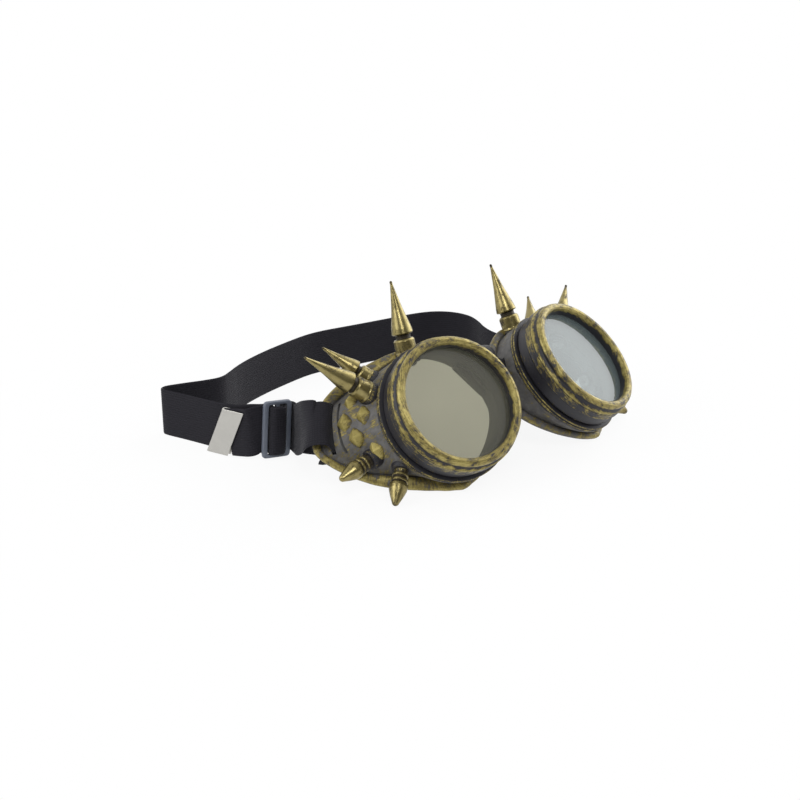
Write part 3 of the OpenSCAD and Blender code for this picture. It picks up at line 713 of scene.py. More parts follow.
def shell_surface(side):
    """The cup's closed section, wall, crowned border, flange and inner wall, carried round all azimuths.

    Each section point is (r, z) at azimuth az and stands at (r sin az, r cos az, z); the outer wall is also
    moved outwards by a smooth random field, as if hammered.
    """
    steps = 300
    az = np.arange(steps) * 360 / steps
    rf, ro, bw = foot_radius(az), cup_outline(az), border_width(az)

    def row(r, z, gild):
        return stacked(r + 0 * az, z, gild)

    def border(share, lift, gild):
        r = rf + bw * share
        return row(r, -flange_depth(r, az) + lift, gild)

    rows = [row(WALL_TOP_R - 0.3, -COLLAR_BACK + 0.6, 0.1)]
    for v in np.linspace(0, 0.97, 22):
        r, z = wall_profile(az, v)
        rows.append(row(r, z, 0.3))
    rows += [
        row(rf - 0.15, -flange_depth(rf, az) + 0.02, 0.02),
        row(rf + 0.2, -flange_depth(rf, az) + 0.05, 0.1),
        border(0.12, RIM_H * 0.62, 0.5),
        border(0.25, RIM_H * 0.9, 0.62),
        border(0.42, RIM_H, 0.6),
        border(0.6, RIM_H * 0.95, 0.58),
        border(0.78, RIM_H * 0.72, 0.62),
        border(0.93, RIM_H * 0.28, 0.75),
    ]
    face = -flange_depth(ro, az)
    inset = np.array([wall_inset(a) for a in az])
    rows += [
        row(ro, face - 0.3, 0.85),
        row(ro - 0.05, face - FLANGE_T + 0.7, 0.5),
        row(ro - 0.5, face - FLANGE_T + 0.1, 0.3),
        row(ro - 1.4, face - FLANGE_T, 0.1),
        row(rf - 1, -flange_depth(rf, az) - FLANGE_T, 0.0),
        row(rf - WALL_T, -flange_depth(rf, az) - FLANGE_T + 0.8, 0.0),
    ]
    for v in (0.85, 0.66, 0.5, 0.3, 0.12):
        r, z = wall_profile(az, v)
        rows.append(row(r + inset[:, 0], z + inset[:, 1], 0.0))
    rows.append(row(SPIGOT_BORE_R + 0.6, -COLLAR_BACK + 0.6, 0.0))
    section = cut_corners(np.array(rows), 1, closed=True).transpose(1, 0, 2)
    r, z, gild = section[..., 0], section[..., 1], section[..., 2]
    turn = az[:, None]
    gild = np.maximum(gild - NOSE_BARE * np.clip(-2 * sind(turn), 0, 1) * (gild > 0.2), 0)
    points = stacked(r * sind(turn), r * cosd(turn), z)
    outer = ramp(section[..., 2] - 0.12, 0.15)[..., None]
    out_of_wall = stacked(sind(turn) + 0 * r, cosd(turn), 0.6)
    dents = waves(points, 7.0, 3) * 0.7 + waves(points, 3.2, 4) * 0.4
    points = points + out_of_wall * dents[..., None] * outer * sizes().hammer_depth
    run = np.cumsum(np.hypot(np.diff(r[0], append=r[0, :1]), np.diff(z[0], append=z[0, :1])))
    run = np.concatenate([[0], run])
    arc = np.append(az, 360) * np.pi / 180 * 34
    uv = stacked(arc[:, None], run)
    return surface(from_cup(side, points), uv, gild, (True, True))


def slot_dir(d):
    return turned(turned(turned(turned(d, 2, SLOT_SKEW), 0, SLOT_TURN[0]), 1, SLOT_TURN[1]), 2, SLOT_TURN[2])


def box_corners(low, high):
    xs, ys, zs = zip(low, high)
    return np.array([[x, y, z] for x in xs for y in ys for z in zs], float)


def shell_cutters(side):
    """Boxes for the two strap slots and the nose slot."""
    cutters = []
    for x in (-1, 1):
        middle = x * (SLOT_BAR + SLOT_W) / 2
        half, slant = (SLOT_W / 2, 0.0) if x > 0 else (INNER_SLOT_W / 2, INNER_SLOT_SLANT)
        corners = box_corners((middle - half, -SLOT_LEN / 2, -9), (middle + half, SLOT_LEN / 2, 3))
        corners[:, 0] += slant * corners[:, 2]
        cutters.append(box_mesh("slot_cutter", from_cup(side, SLOT_AT + slot_dir(corners))))
    half = BRIDGE_W / 2 + SOFT_GAP
    thick = BRIDGE_T / 2 + SOFT_GAP
    corners = box_corners((-half, SPIGOT_BORE_R - 1, -thick), (half, SPIGOT_BORE_R + 11, thick))
    cutters.append(box_mesh("nose_cutter", from_cup(side, turned(corners, 2, -NOSE_AZ) - [0, 0, NOSE_DEPTH])))
    return cutters


def collar_surface(side):
    """Collar with its groove and the threaded spigot.

    The thread is a helical groove: its depth goes as (0.5 + 0.5 sin p)^0.6, with the phase p growing by a
    full turn with each turn round the spigot and with each pitch along it.
    """
    front, groove = COLLAR_FRONT, COLLAR_LEN / 4
    profile = [
        (SPIGOT_BORE_R, -SPIGOT_TOP, 0), (SPIGOT_R - 0.5, -SPIGOT_TOP, 0.1),
        (SPIGOT_R, -SPIGOT_TOP - 0.5, 0.1), (SPIGOT_R, -front, 0.0), (COLLAR_R - 0.4, -front, 0.25),
        (COLLAR_R, -front - 0.3, 1.0), (COLLAR_R, -front - groove, 0.6),
        (COLLAR_R - 0.5, -front - 1.5 * groove, 0.0), (COLLAR_R - 0.5, -front - 2 * groove, 0.0),
        (COLLAR_R - 0.1, -front - 2.5 * groove, 0.85), (COLLAR_R - 0.1, -COLLAR_BACK + 0.2, 0.6),
        (WALL_TOP_R - 0.1, -COLLAR_BACK, 0.1), (WALL_TOP_R - 0.1, -WALL_START, 0.1),
        (SPIGOT_BORE_R + WALL_T, -WALL_START - 1, 0), (SPIGOT_BORE_R, -WALL_START + 1, 0),
    ]
    profile = refined(rounded(profile, 0.2), 0.3)

    def thread(q, z, r):
        on_spigot = ramp(SPIGOT_R + 0.3 - r, 0.2) * ramp(r - SPIGOT_R + 0.6, 0.2)
        on_spigot = on_spigot * ramp(-SPIGOT_TOP - 0.4 - z, 0.4) * ramp(z + front - 0.2, 0.4)
        phase = q / (2 * np.pi) + z / THREAD_PITCH
        return THREAD_DEPTH * on_spigot * (0.5 + 0.5 * np.sin(2 * np.pi * phase)) ** 0.6

    return ring_revolve(profile, 256, lambda p: from_cup(side, p), thread)


def seat_surfaces(side):
    """The bosses that carry the spikes: short drums through the wall with a small fillet."""
    made = []
    for seat in SEATS.values():
        top, bottom, r = seat[5] - 0.02, seat[5] - seat[4], seat[6] / 2 + 0.3
        profile = rounded(
            [(0, bottom, 0), (r - 0.5, bottom, 0.05), (r, bottom + 0.4, 0.05), (r + 0.25, top - 1.6, 0.2),
             (r, top - 0.4, 0.6), (r - 0.2, top, 0.4), (0, top, 0.1)],
            0.3, closed=False,
        )
        made.append(revolve(profile, 48, lambda p, s=seat: from_cup(side, at_seat(s, p))))
    return made


def stud_surfaces(side):
    """Pointed studs on a footprint that is a superellipse of power 1.25.

    At a share s of the way to its edge a stud is (1 - s^1.15)^0.85 of its full height.
    """
    made = []
    rho, q = np.meshgrid(np.linspace(0, 1.3, 15), full_turn(64, 1), indexing="ij")
    c, s = np.cos(q), np.sin(q)
    radius = (np.abs(c) ** 1.25 + np.abs(s) ** 1.25) ** (-1 / 1.25)
    inside = np.clip(rho, 0, 1)
    height = STUD_H * (1 - inside**1.15) ** 0.85 - np.clip(rho - 1, 0, 1) * 5
    spread = 1 + np.clip(rho - 1, 0, 1) * 0.25
    for az, v in STUDS:
        inset = wall_inset(az)
        slope = np.degrees(np.arctan2(inset[1], inset[0])) - 180
        x = inside * spread * radius * c * STUD_W / 2
        y = inside * spread * radius * s * STUD_L / 2 + 0.5 * (1 - inside)
        local = stacked(x, y, height)
        points = turned(turned(local, 0, slope - 90), 2, -az) + wall_point(az, v)
        uv = stacked(x, y)
        # Gold thins towards the stud's edge; 0.12 * s adds gold on the side facing the flange and takes it
        # off the side facing the lens ring, a painted highlight and a painted shade
        gild = np.clip(1.0 - 0.6 * rho**3 + 0.12 * s, 0, 1)
        made.append(surface(from_cup(side, points)[:, :-1], uv, gild[:, :-1], (False, True)))
    return made


class GOGGLES_OT_eyecups(bpy.types.Operator):
    """Build both eye cups: shell, collar, spike bosses and pointed studs"""

    bl_idname = "goggles.eyecups"
    bl_label = "Eye cups"

    def execute(self, context):
        palette = colours()
        wall = gilded_plastic("dry_brushed_cup_wall", palette.grey, 0.3, 5.0, turn=0.6, cover=0.05)
        trim = gilded_plastic("dry_brushed_collar", palette.black, 0.5, 3.0, cover=-0.2)
        studs = gilded_plastic("dry_brushed_studs", palette.grey, 0.4, 2.0, turn=0.5, cover=0.22)
        for side, name in SIDE_NAME.items():
            shell = build(f"{name}_cup_shell", [shell_surface(side)], wall, sharp=40)
            cut(shell, shell_cutters(side))
            shell.data.shade_smooth()
            shell.data.set_sharp_from_angle(angle=np.radians(40))
            collar = build(f"{name}_cup_collar", [collar_surface(side)], trim)
            seats = build(f"{name}_spike_bosses", seat_surfaces(side), trim)
            points = build(f"{name}_pointed_studs", stud_surfaces(side), studs, sharp=60)
            for piece in (shell, collar, seats, points):
                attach(piece, f"{name}_cup")
                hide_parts(f"{name}_eyecup")
        return {"FINISHED"}


class GOGGLES_OT_lens_rings(bpy.types.Operator):
    """Build the two screw rings that hold the lenses"""

    bl_idname = "goggles.lens_rings"
    bl_label = "Lens rings"

    def execute(self, context):
        black = colours().black
        finish = gilded_plastic("dry_brushed_ring", black, 0.4, 4.0, turn=1.35, cover=-0.11, shine=0.34)
        m, b = MOUTH_R, BAND_R
        profile = [
            (m, -LENS_RECESS, 0.0), (m, -1.2, 0.2), (m + 0.05, -0.1, 0.85), (m + 0.35, LIP_H * 0.55, 1.0),
            (m + 1, LIP_H * 0.9, 0.85), (m + 1.8, LIP_H, 0.8), (m + 2.7, LIP_H * 0.8, 0.85),
            (m + 3.4, LIP_H * 0.25, 0.9), (m + 3.6, -0.4, 0.75), (m + 3.35, -1, 0.3), (m + 3.3, -1.6, 0.15),
            (m + 3.7, -2.1, 0.45), (b - 0.35, -BAND_FRONT - 0.05, 0.85), (b, -BAND_FRONT - 0.35, 0.95),
            (b, -BAND_FRONT - 0.8, 0.8), (b - 0.25, -BAND_FRONT - 1, 0.3), (b, -BAND_FRONT - 1.25, 0.7),
            (b, -BAND_REAR + 2.0, 0.58), (b, -BAND_REAR + 0.9, 0.42), (b + 0.1, -BAND_REAR + 0.2, 0.55),
            (b + 0.1, -BAND_REAR, 0.72), (SKIRT_R + 0.1, -BAND_REAR - 0.35, 0.05),
            (SKIRT_R, -BAND_REAR - 0.7, 0.1), (SKIRT_R, -RING_LEN + 0.5, 0.12),
            (SKIRT_R - 0.3, -RING_LEN, 0.5), (BORE_R, -RING_LEN, 0.0), (BORE_R, -SPIGOT_TOP + 0.4, 0.0),
            (LENS_D / 2 + 0.15, -SPIGOT_TOP + 0.4, 0.0), (LENS_D / 2 + 0.15, -LENS_RECESS, 0.0),
        ]
        profile = refined(rounded(profile, 0.25), 0.7)
        for side, name in SIDE_NAME.items():
            ring = ring_revolve(profile, 256, lambda p, s=side: from_cup(s, p))
            piece = build(f"{name}_screw_ring", [ring], finish)
            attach(piece, f"{name}_ring")
            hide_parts(f"{name}_lens_ring")
        return {"FINISHED"}


class GOGGLES_OT_lenses(bpy.types.Operator):
    """Build the two smoked lenses and give the gaskets their rubber"""

    bl_idname = "goggles.lenses"
    bl_label = "Lenses and gaskets"

    def execute(self, context):
        rubber = moulded("gasket_rubber", tuple(colours().rubber), 0.7, 0.4, 0.3)
        r, back, front = LENS_D / 2, -LENS_BACK, -LENS_BACK + LENS_T
        profile = rounded(
            [(0, back, 0), (r - 0.2, back, 0), (r, back + 0.25, 0),
             (r, front - 0.25, 0), (r - 0.2, front, 0), (0, front, 0)],
            0.1, closed=False,
        )
        for side, name in SIDE_NAME.items():
            tint = tuple(getattr(colours(), f"{name}_lens"))
            disc = revolve(profile, 128, lambda p, s=side: from_cup(s, p))
            glass = smoked_lens(f"smoked_polycarbonate_{name}", tint, LENS_CLEAR_AND_PAINTED_REFLECTION[side])
            piece = build(f"{name}_smoked_lens", [disc], glass)
            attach(piece, f"{name}_glazing")
            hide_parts(f"{name}_lens")
            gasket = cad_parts[f"{name}_lens_gasket"]
            gasket.data.materials.clear()
            gasket.data.materials.append(rubber)
        return {"FINISHED"}


def spike_profile(seat, barrel, neck):
    """Barrel with a flared foot, waisted neck, then the cone and its rounded tip, as (r, z, gold) rows; the
    neck's low gold paints its groove with patina and painted shade.
    """
    r, tip, long = seat[6] / 2, 0.55, seat[7]
    cone = barrel + neck
    # The neck's low gold renders it dark brown: patina, and painted shade of the groove under the cone
    rows = [
        (0, 0, 0), (r + 0.25, 0, 0.7), (r + 0.25, 0.4, 0.9), (r - 0.05, 1, 0.55),
        (r - 0.1, barrel - 0.7, 0.85), (r - 0.55, barrel - 0.05, 1.0), (r - 1.15, barrel + 0.15, 0.3),
        (r - 1.35, barrel + 0.45, 0.1), (r - 1.35, cone - 0.35, 0.1), (r - 1.05, cone, 0.3),
        (r - 0.35, cone + 0.05, 0.9), (r, cone + 0.45, 1.0), (r - 0.3, cone + 2.4, 0.85),
        (r * 0.5, cone + (long - barrel - neck) * 0.5, 0.8), (tip, long - 1.6, 0.8),
    ]
    rows += [(tip * cosd(a), long - tip + tip * sind(a), 0.2) for a in (10, 35, 60)]
    rows.append((0, long, 0.0))
    return refined(rounded(rows, 0.25, closed=False), 0.6, closed=False)


def bullet_profile(seat):
    """Waist, two rings and a blunt head, as (r, z, gold) rows."""
    r, long = seat[6] / 2, seat[7]
    rows = [
        (0, 0, 0), (r - 0.9, 0, 0.5), (r - 1.1, 1.5, 0.2), (r - 0.5, 2, 0.85), (r - 0.45, 2.6, 0.85),
        (r - 1, 3, 0.1), (r - 1, 3.7, 0.1), (r - 0.3, 4.2, 0.85), (r - 0.25, 4.9, 0.9), (r - 0.7, 5.3, 0.1),
        (r - 0.1, 6.2, 0.8), (r, 7.2, 0.85), (r - 0.15, 8.4, 0.8), (r - 1.1, long - 3.9, 0.8),
        (1.2, long - 0.6, 0.8), (0.7, long - 0.15, 0.8), (0, long, 0.7),
    ]
    return refined(rounded(rows, 0.25, closed=False), 0.6, closed=False)


class GOGGLES_OT_spikes(bpy.types.Operator):
    """Build the spikes and bullet studs of both cups"""

    bl_idname = "goggles.spikes"
    bl_label = "Spikes and bullets"

    def execute(self, context):
        finish = antique_plate("antique_brass_plate")
        for side, name in SIDE_NAME.items():
            for key, seat in SEATS.items():
                if "bullet" in key:
                    profile = bullet_profile(seat)
                else:
                    barrel, neck = SLIM_SPIKE if key == "side_spike_rear" else TALL_SPIKE
                    profile = spike_profile(seat, barrel, neck)
                profile = profile + [0, seat[5], 0]
                body = revolve(profile, 72, lambda p, s=side, t=seat: from_cup(s, at_seat(t, p)))
                piece = build(f"{name}_{key}_gold", [body], finish)
                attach(piece, f"{name}_cup")
                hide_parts(f"{name}_{key}")
        return {"FINISHED"}


def screw_head(place):
    """A pan head with a cross recess.

    At a share s of the radius the head is SCREW_HEAD_H sqrt(1 - 0.75 s^4) high. The cross is sunk by 0.9 mm
    within about 0.38 mm of either arm's middle line.
    """
    rho, q = np.meshgrid(np.linspace(0, 1, 25), full_turn(72, 1), indexing="ij")
    x, y = SCREW_HEAD_R * rho * np.cos(q), SCREW_HEAD_R * rho * np.sin(q)
    dome = SCREW_HEAD_H * np.sqrt(np.clip(1 - 0.75 * rho**4, 0, 1))
    arm = np.minimum(np.abs(x), np.abs(y))
    reach = ramp(1.75 - np.hypot(x, y), 0.3)
    dome -= 0.9 * ramp(0.38 - arm, 0.15) * reach
    top = stacked(x, y, -dome)
    under = stacked(x, y, 0 * x)[::-1]
    points = np.concatenate([top, under])[:, :-1]
    uv = np.concatenate([stacked(x, y)] * 2)
    return surface(place(points), uv, 0.0, (False, True))


class GOGGLES_OT_screws(bpy.types.Operator):
    """Build the cross-head screws that hold the spikes from inside the cups"""

    bl_idname = "goggles.screws"
    bl_label = "Spike screws"

    def execute(self, context):
        steel = brushed_metal("zinc_plated_steel", linear("#A9A8A4"), 0.35)
        for side, name in SIDE_NAME.items():
            heads = []
            for seat in SEATS.values():
                drop = [0, 0, seat[5] - seat[4]]
                heads.append(screw_head(lambda p, s=side, t=seat, d=drop: from_cup(s, at_seat(t, p + d))))
            piece = build(f"{name}_screw_heads", heads, steel)
            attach(piece, f"{name}_cup")
            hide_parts(f"{name}_spike_screws")
        return {"FINISHED"}


def even_rows(rows, step):
    """Rows of a path spaced evenly, at most `step` apart."""
    run = np.concatenate([[0], np.cumsum(np.linalg.norm(np.diff(rows[:, :3], axis=0), axis=1))])
    at = np.linspace(0, run[-1], int(np.ceil(run[-1] / step)) + 1)
    return np.stack([np.interp(at, run, rows[:, k]) for k in range(rows.shape[1])], axis=1)


def ribbon(rows, width, thick, across, rib_pitch=None, rib_depth=0.0):
    """A band along a path of (point, width direction) rows, with a closed section.

    Both faces are flat, at half the thickness h, and round off over the last 0.6 of the thickness before each
    edge. There, with e going from 0 at the edge to 1, they stand at h sqrt(1 - (1 - e)^2). The ribs lower a
    face by a squared sine of the distance across.
    """
    centre, lean = rows[:, :3], rows[:, 3:6]
    along = np.gradient(centre, axis=0)
    along /= np.linalg.norm(along, axis=1, keepdims=True)
    side = lean - (lean * along).sum(axis=1, keepdims=True) * along
    side /= np.linalg.norm(side, axis=1, keepdims=True)
    out = np.cross(along, side)
    half = width / 2
    w = np.concatenate([np.linspace(-half, half, across), np.linspace(half, -half, across)])
    face = np.concatenate([np.ones(across), -np.ones(across)])
    edge = ramp(half - np.abs(w), thick * 0.6)
    h = thick / 2 * np.sqrt(np.clip(1 - (1 - edge) ** 2, 0, 1))
    if rib_pitch:
        h = h - rib_depth * np.sin(np.pi * w / rib_pitch) ** 2 * np.clip(edge * 2, 0, 1)
    keep = np.ones(len(w), bool)
    keep[[across, -1]] = False
    w, h = w[keep], (h * face)[keep]
    points = centre[:, None] + side[:, None] * w[None, :, None] + out[:, None] * h[None, :, None]
    ends = [np.broadcast_to(centre[i], points[i].shape)[None] for i in (0, -1)]
    points = np.concatenate([ends[0], points, ends[1]])
    run = np.concatenate([[0, 0], np.cumsum(np.linalg.norm(np.diff(centre, axis=0), axis=1))])
    run = np.append(run, run[-1])
    w_map = np.append(w, w[0])
    uv = stacked(run[:, None], w_map)
    return surface(points - FRAME_SHIFT, uv, 0.0, (False, True))


def nose_dirs(side):
    out = cup_dir(side, [sind(NOSE_AZ), cosd(NOSE_AZ), 0])
    return out, cup_dir(side, [cosd(NOSE_AZ), -sind(NOSE_AZ), 0])


def nose_stop(side, r):
    p = in_world(side, np.array([r * sind(NOSE_AZ), r * cosd(NOSE_AZ), -NOSE_DEPTH]))
    return [*p, *nose_dirs(side)[1]]


class GOGGLES_OT_nose_bridge(bpy.types.Operator):
    """Build the rubber bridge between the cups, with its T-shaped ends"""

    bl_idname = "goggles.nose_bridge"
    bl_label = "Nose bridge"

    def execute(self, context):
        inner = SPIGOT_BORE_R + 0.7 - 1
        middle, face_up = np.array([0.2, 20.9, 39.4]), (0, 0.67, 0.74)
        route = np.array([
            nose_stop(RIGHT, inner), nose_stop(RIGHT, 29), nose_stop(RIGHT, 32.5),
            [*(middle + [-3.6, 0, 0]), *face_up], [*(middle + [3.4, -0.3, -0.6]), *face_up],
            nose_stop(LEFT, 32.5), nose_stop(LEFT, 29), nose_stop(LEFT, inner),
        ])
        strip = ribbon(even_rows(cut_corners(route, 3), 0.5), BRIDGE_W, BRIDGE_T, 40)
        ends = []
        for side in SIDE_NAME:
            out, across = nose_dirs(side)
            rows = np.array([[*(np.array(nose_stop(side, inner)[:3]) + across * k), *cup_dir(side, [0, 0, 1])]
                             for k in np.linspace(-BRIDGE_END_W / 2, BRIDGE_END_W / 2, 24)])
            ends.append(ribbon(rows, 5, 2, 16))
        rubber = moulded("bridge_rubber", tuple(colours().rubber), 0.55, 0.5, 0.4)
        piece = build("rubber_nose_bridge", [strip, *ends], rubber)
        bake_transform(piece)
        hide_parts("nose_bridge")
        return {"FINISHED"}


def slider_dir(d):
    return turned(turned(d, 1, SLIDER_LEAN), 2, SLIDER_TURN)


def slider_place(p):
    """Points of the slider's frame: x along the strap towards the cup, y out of its back, z up."""
    return slider_dir(p) + SLIDER_AT


def slider_stop(a, b):
    return [*slider_place([a, -b, SLIDER_H / 2]), *slider_dir([0, 0, 1])]


def slider_arc(a, b, r, start, stop):
    return [slider_stop(a + r * cosd(q), b + r * sind(q)) for q in np.linspace(start, stop, 4)]


def slot_stop(side, x, z, turn=0.0):
    p = in_world(side, SLOT_AT + slot_dir([x, 0, z]))
    lean = cup_dir(side, slot_dir([0, 1, 0])) * (1 - turn) + np.array([0, 0, 1]) * turn
    return [*p, *lean]


def flange_turn(side):
    outer = SLOT_BAR / 2 + SLOT_W / 2
    stops = ((0.25, 1.2, 0), (0, -0.5, 0), (0, -5, 0), (0.1, -8.4, 0), (1.6, -10, 0), (4.4, -9.8, 0.1))
    return [slot_stop(side, outer + x, z, turn) for x, z, turn in stops]


def strap_route():
    """The strap's path from its free end to where it is sewn down, as in the part's source."""
    up = (0, 0, 1)
    mid_z = STRAP_W / 2
    half_t, half_len = SLIDER_T / 2, SLIDER_LEN / 2
    bar_in, mid_half = half_len - SLIDER_BAR, SLIDER_MID / 2
    wrap = STRAP_T / 2 + SOFT_GAP + 0.05
    second = wrap + STRAP_T + SOFT_GAP
    tail = [[*p, *up] for p in ((-82.95, 87.2, 10.7), (-81.95, 83.4, 11.2), (-80.5, 77.7, 12.2))]
    tail += [
        slider_stop(-half_len - 1.6, -half_t - wrap - 0.1), slider_stop(-half_len, -half_t - wrap),
        *slider_arc(-bar_in, -half_t, wrap, 270, 360), *slider_arc(-mid_half, half_t, second, 180, 90),
        *slider_arc(mid_half, half_t, second, 90, 10),
        slider_stop(bar_in - wrap, half_t), *slider_arc(bar_in, -half_t, wrap, 180, 270),
        *slider_arc(half_len, -half_t, wrap, 270, 360), *slider_arc(half_len, half_t, wrap + 0.05, 0, 30),
        slider_stop(half_len + 0.7, half_t + 2.4),
    ]
    front = [
        [-66, 65, 13, *up], [-68.8, 60.6, 15.4, 0.03, 0.05, 1], [-72.3, 54.4, 19, 0.18, 0.25, 0.95],
        [-76.6, 48.2, 22.2, 0.42, 0.5, 0.75],
        slot_stop(RIGHT, 8.6, 4), slot_stop(RIGHT, 5, 3.7), slot_stop(RIGHT, 2.9, 2.7),
    ]
    back = [
        [-65, 45.8, 16.2, 0.4, 0.45, 0.75], [-62.6, 54, 15.2, 0.12, 0.15, 0.95], [-60.8, 61.2, 12.6, *up],
        [-61.3, 66, 11.6, *slider_dir([0, 0, 1])], slider_stop(half_len + second, 2.4),
        *slider_arc(half_len, -half_t, second, 360, 270), *slider_arc(bar_in, -half_t, second, 270, 180),
        *slider_arc(mid_half, half_t, wrap, 0, 90), *slider_arc(-mid_half, half_t, wrap, 90, 180),
        *slider_arc(-bar_in, -half_t, second, 0, -90),
        slider_stop(-half_len, -half_t - second - 0.2), slider_stop(-half_len - 1.6, -half_t - second - 0.9),
    ]
    low = ((-77.9, 82, 12), (-79.4, 88.6, 11))
    level = (
        (-81.6, 97.5), (-83.6, 107), (-86, 117), (-87.8, 123.4), (-88.3, 127), (-85.6, 128.4), (-81, 127),
        (-75, 124.8), (-68, 122), (-61, 120.3), (-54, 123.6), (-46, 128), (-36, 131.8), (-24, 135.2),
        (-10, 138), (4, 140.3), (14, 139.8), (26, 137), (40, 134), (55, 131), (67, 128.6), (76, 124.6),
        (82, 117), (83.3, 107), (79.6, 98), (74.6, 90), (71.2, 81), (70.8, 72),
    )
    rear = [[*p, *up] for p in low] + [[x, y, mid_z, *up] for x, y in level]
    left = [
        [71.4, 63.5, 11.6, *up], [73.6, 57, 14.4, -0.08, 0.1, 1], [77.2, 50.6, 18, -0.3, 0.35, 0.85],
        slot_stop(LEFT, 8.6, 4), slot_stop(LEFT, 5, 3.7), slot_stop(LEFT, 2.9, 2.7), *flange_turn(LEFT),
        [68.6, 50.5, 12.6, -0.2, 0.3, 0.9], [69, 58, 11.4, *up], [69.2, 65, 10.8, *up],
        [69.3, 70, mid_z, *up], [69.4, 74, mid_z, *up],
    ]
    return np.array([*tail, *front, *flange_turn(RIGHT), *back, *rear, *left], float)


class GOGGLES_OT_strap(bpy.types.Operator):
    """Build the ribbed elastic strap in four runs that meet inside the slider and behind it"""

    bl_idname = "goggles.strap"
    bl_label = "Elastic strap"

    def execute(self, context):
        rows = even_rows(cut_corners(strap_route(), 3), 0.5)
        local = rows[:, :3] - slider_place([0, 0, SLIDER_H / 2])
        along = local @ slider_dir([1, 0, 0])
        # The strap is cut where it crosses the middle bar, and once more behind the slider
        near = np.linalg.norm(local, axis=1) < 6
        crossings = np.flatnonzero((np.diff(np.sign(along)) != 0) & near[:-1])
        first, second = crossings[0], crossings[-1]
        behind = second + np.flatnonzero(along[second:] < -14)[0]
        runs = {
            "strap_free_end": (0, first, 0.5),
            "strap_cup_loop": (first, second, 0.5),
            "strap_slider_exit": (second, behind, 0.5),
            "strap_head_band": (behind, len(rows) - 1, 1.0),
        }
        elastic = woven_elastic()
        size = sizes()
        ribs = round(STRAP_W / size.rib_pitch)
        for name, (a, b, step) in runs.items():
            piece_rows = even_rows(rows[a : b + 1], step)
            band = ribbon(piece_rows, STRAP_W, STRAP_T, 4 * ribs + 1, STRAP_W / ribs, size.rib_depth)
            piece = build(name, [band], elastic, sharp=70)
            self.carry(piece, name)
            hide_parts("elastic_strap")
        return {"FINISHED"}

    def carry(self, piece, name):
        """Bakes each run's placement into its mesh; no run is tied to a cup or to the slider."""
        middle = slider_place([0, 0, SLIDER_H / 2])
        spot = {k: (middle + slider_dir([k, 0, 0]) - FRAME_SHIFT) * MM for k in (-14, -7.5)}
        if name == "strap_head_band":
            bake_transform(piece)
        elif name == "strap_cup_loop":
            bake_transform(piece)
        else:
            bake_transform(piece)


class GOGGLES_OT_stitching(bpy.types.Operator):
    """Build the two rows of stitches that hold the strap's sewn end"""

    bl_idname = "goggles.stitching"
    bl_label = "Stitching"

    def execute(self, context):
        thread = moulded("black_thread", tuple(colours().elastic), 0.7, 0.3, 0.3)
        stitches = []
        t, q = np.meshgrid(np.linspace(0, 1, 9), np.arange(9) * np.pi / 4, indexing="ij")
        radius = STITCH_R * np.sin(np.pi * np.clip(t, 0.02, 0.98)) ** 0.4
        uv = stacked(t, q)
        for y in STITCH_ROWS:
            for z in np.arange(STITCH_LOW, STITCH_TOP, STITCH_PITCH):
                for x, sign in STITCH_FACES:
                    bow = x + sign * (0.02 + STITCH_RISE * np.sin(np.pi * t))
                    points = stacked(bow + radius * np.cos(q), y + radius * np.sin(q), z + STITCH_LEN * t)
                    points = points[:, :-1] - FRAME_SHIFT
                    stitches.append(surface(points, uv, 0.0, (False, True)))
        piece = build("strap_stitches", stitches, thread)
        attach(piece, "left_cup")
        return {"FINISHED"}


class GOGGLES_OT_slider(bpy.types.Operator):
    """Build the moulded slider with its two windows"""

    bl_idname = "goggles.slider"
    bl_label = "Slider"

    def execute(self, context):
        nylon = moulded("moulded_nylon", tuple(colours().slider), 0.42, 0.35)
        piece = build("nylon_slider", [self.frame_surface(), self.bar_surface()], nylon, sharp=60)
        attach(piece, "slider")
        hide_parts("strap_slider")
        return {"FINISHED"}

    def frame_surface(self):
        """A rounded rectangle whose section at each step runs from the outer to the inner outline.

        At angle q the section is the middle line plus half its width times cos q, and half the thickness
        times sin q, each with the power 0.45, so the bars have flat faces and round edges.
        """
        s = np.linspace(0, 2 * np.pi, 193)[:-1]

        def outline(half_x, half_z, power):
            c, d = np.cos(s), np.sin(s)
            r = ((np.abs(c) / half_x) ** power + (np.abs(d) / half_z) ** power) ** (-1 / power)
            return stacked(r * c, r * d)

        window_z = (STRAP_W + 0.7) / 2
        outer = outline(SLIDER_LEN / 2, SLIDER_H / 2, 12)
        inner = outline(SLIDER_LEN / 2 - SLIDER_BAR, window_z, 18)
        middle, half = (outer + inner) / 2, (outer - inner) / 2
        q = full_turn(24)
        side = signed_power(np.cos(q), 0.45)
        up = signed_power(np.sin(q), 0.45)
        flat = middle[:, None] + half[:, None] * side[None, :, None]
        points = stacked(flat[..., 0], up * SLIDER_T / 2, flat[..., 1]) + [0, 0, SLIDER_H / 2]
        uv = np.zeros((193, 25, 2))
        return surface(slider_place(points) - FRAME_SHIFT, uv, 0.0, (True, True))

    def bar_surface(self):
        """The middle bar: a rounded section carried up between the frame's ends."""
        z = np.linspace(1.2, SLIDER_H - 1.2, 20)
        q = full_turn(24)
        x = signed_power(np.cos(q), 0.55) * SLIDER_MID / 2
        y = signed_power(np.sin(q), 0.55) * SLIDER_T * 0.47
        points = stacked(x, y, z[:, None])
        caps = [np.broadcast_to([0, 0, z[i]], (1, 24, 3)) for i in (0, -1)]
        points = np.concatenate([caps[0], points, caps[1]])
        return surface(slider_place(points) - FRAME_SHIFT, np.zeros((22, 25, 2)), 0.0, (False, True))


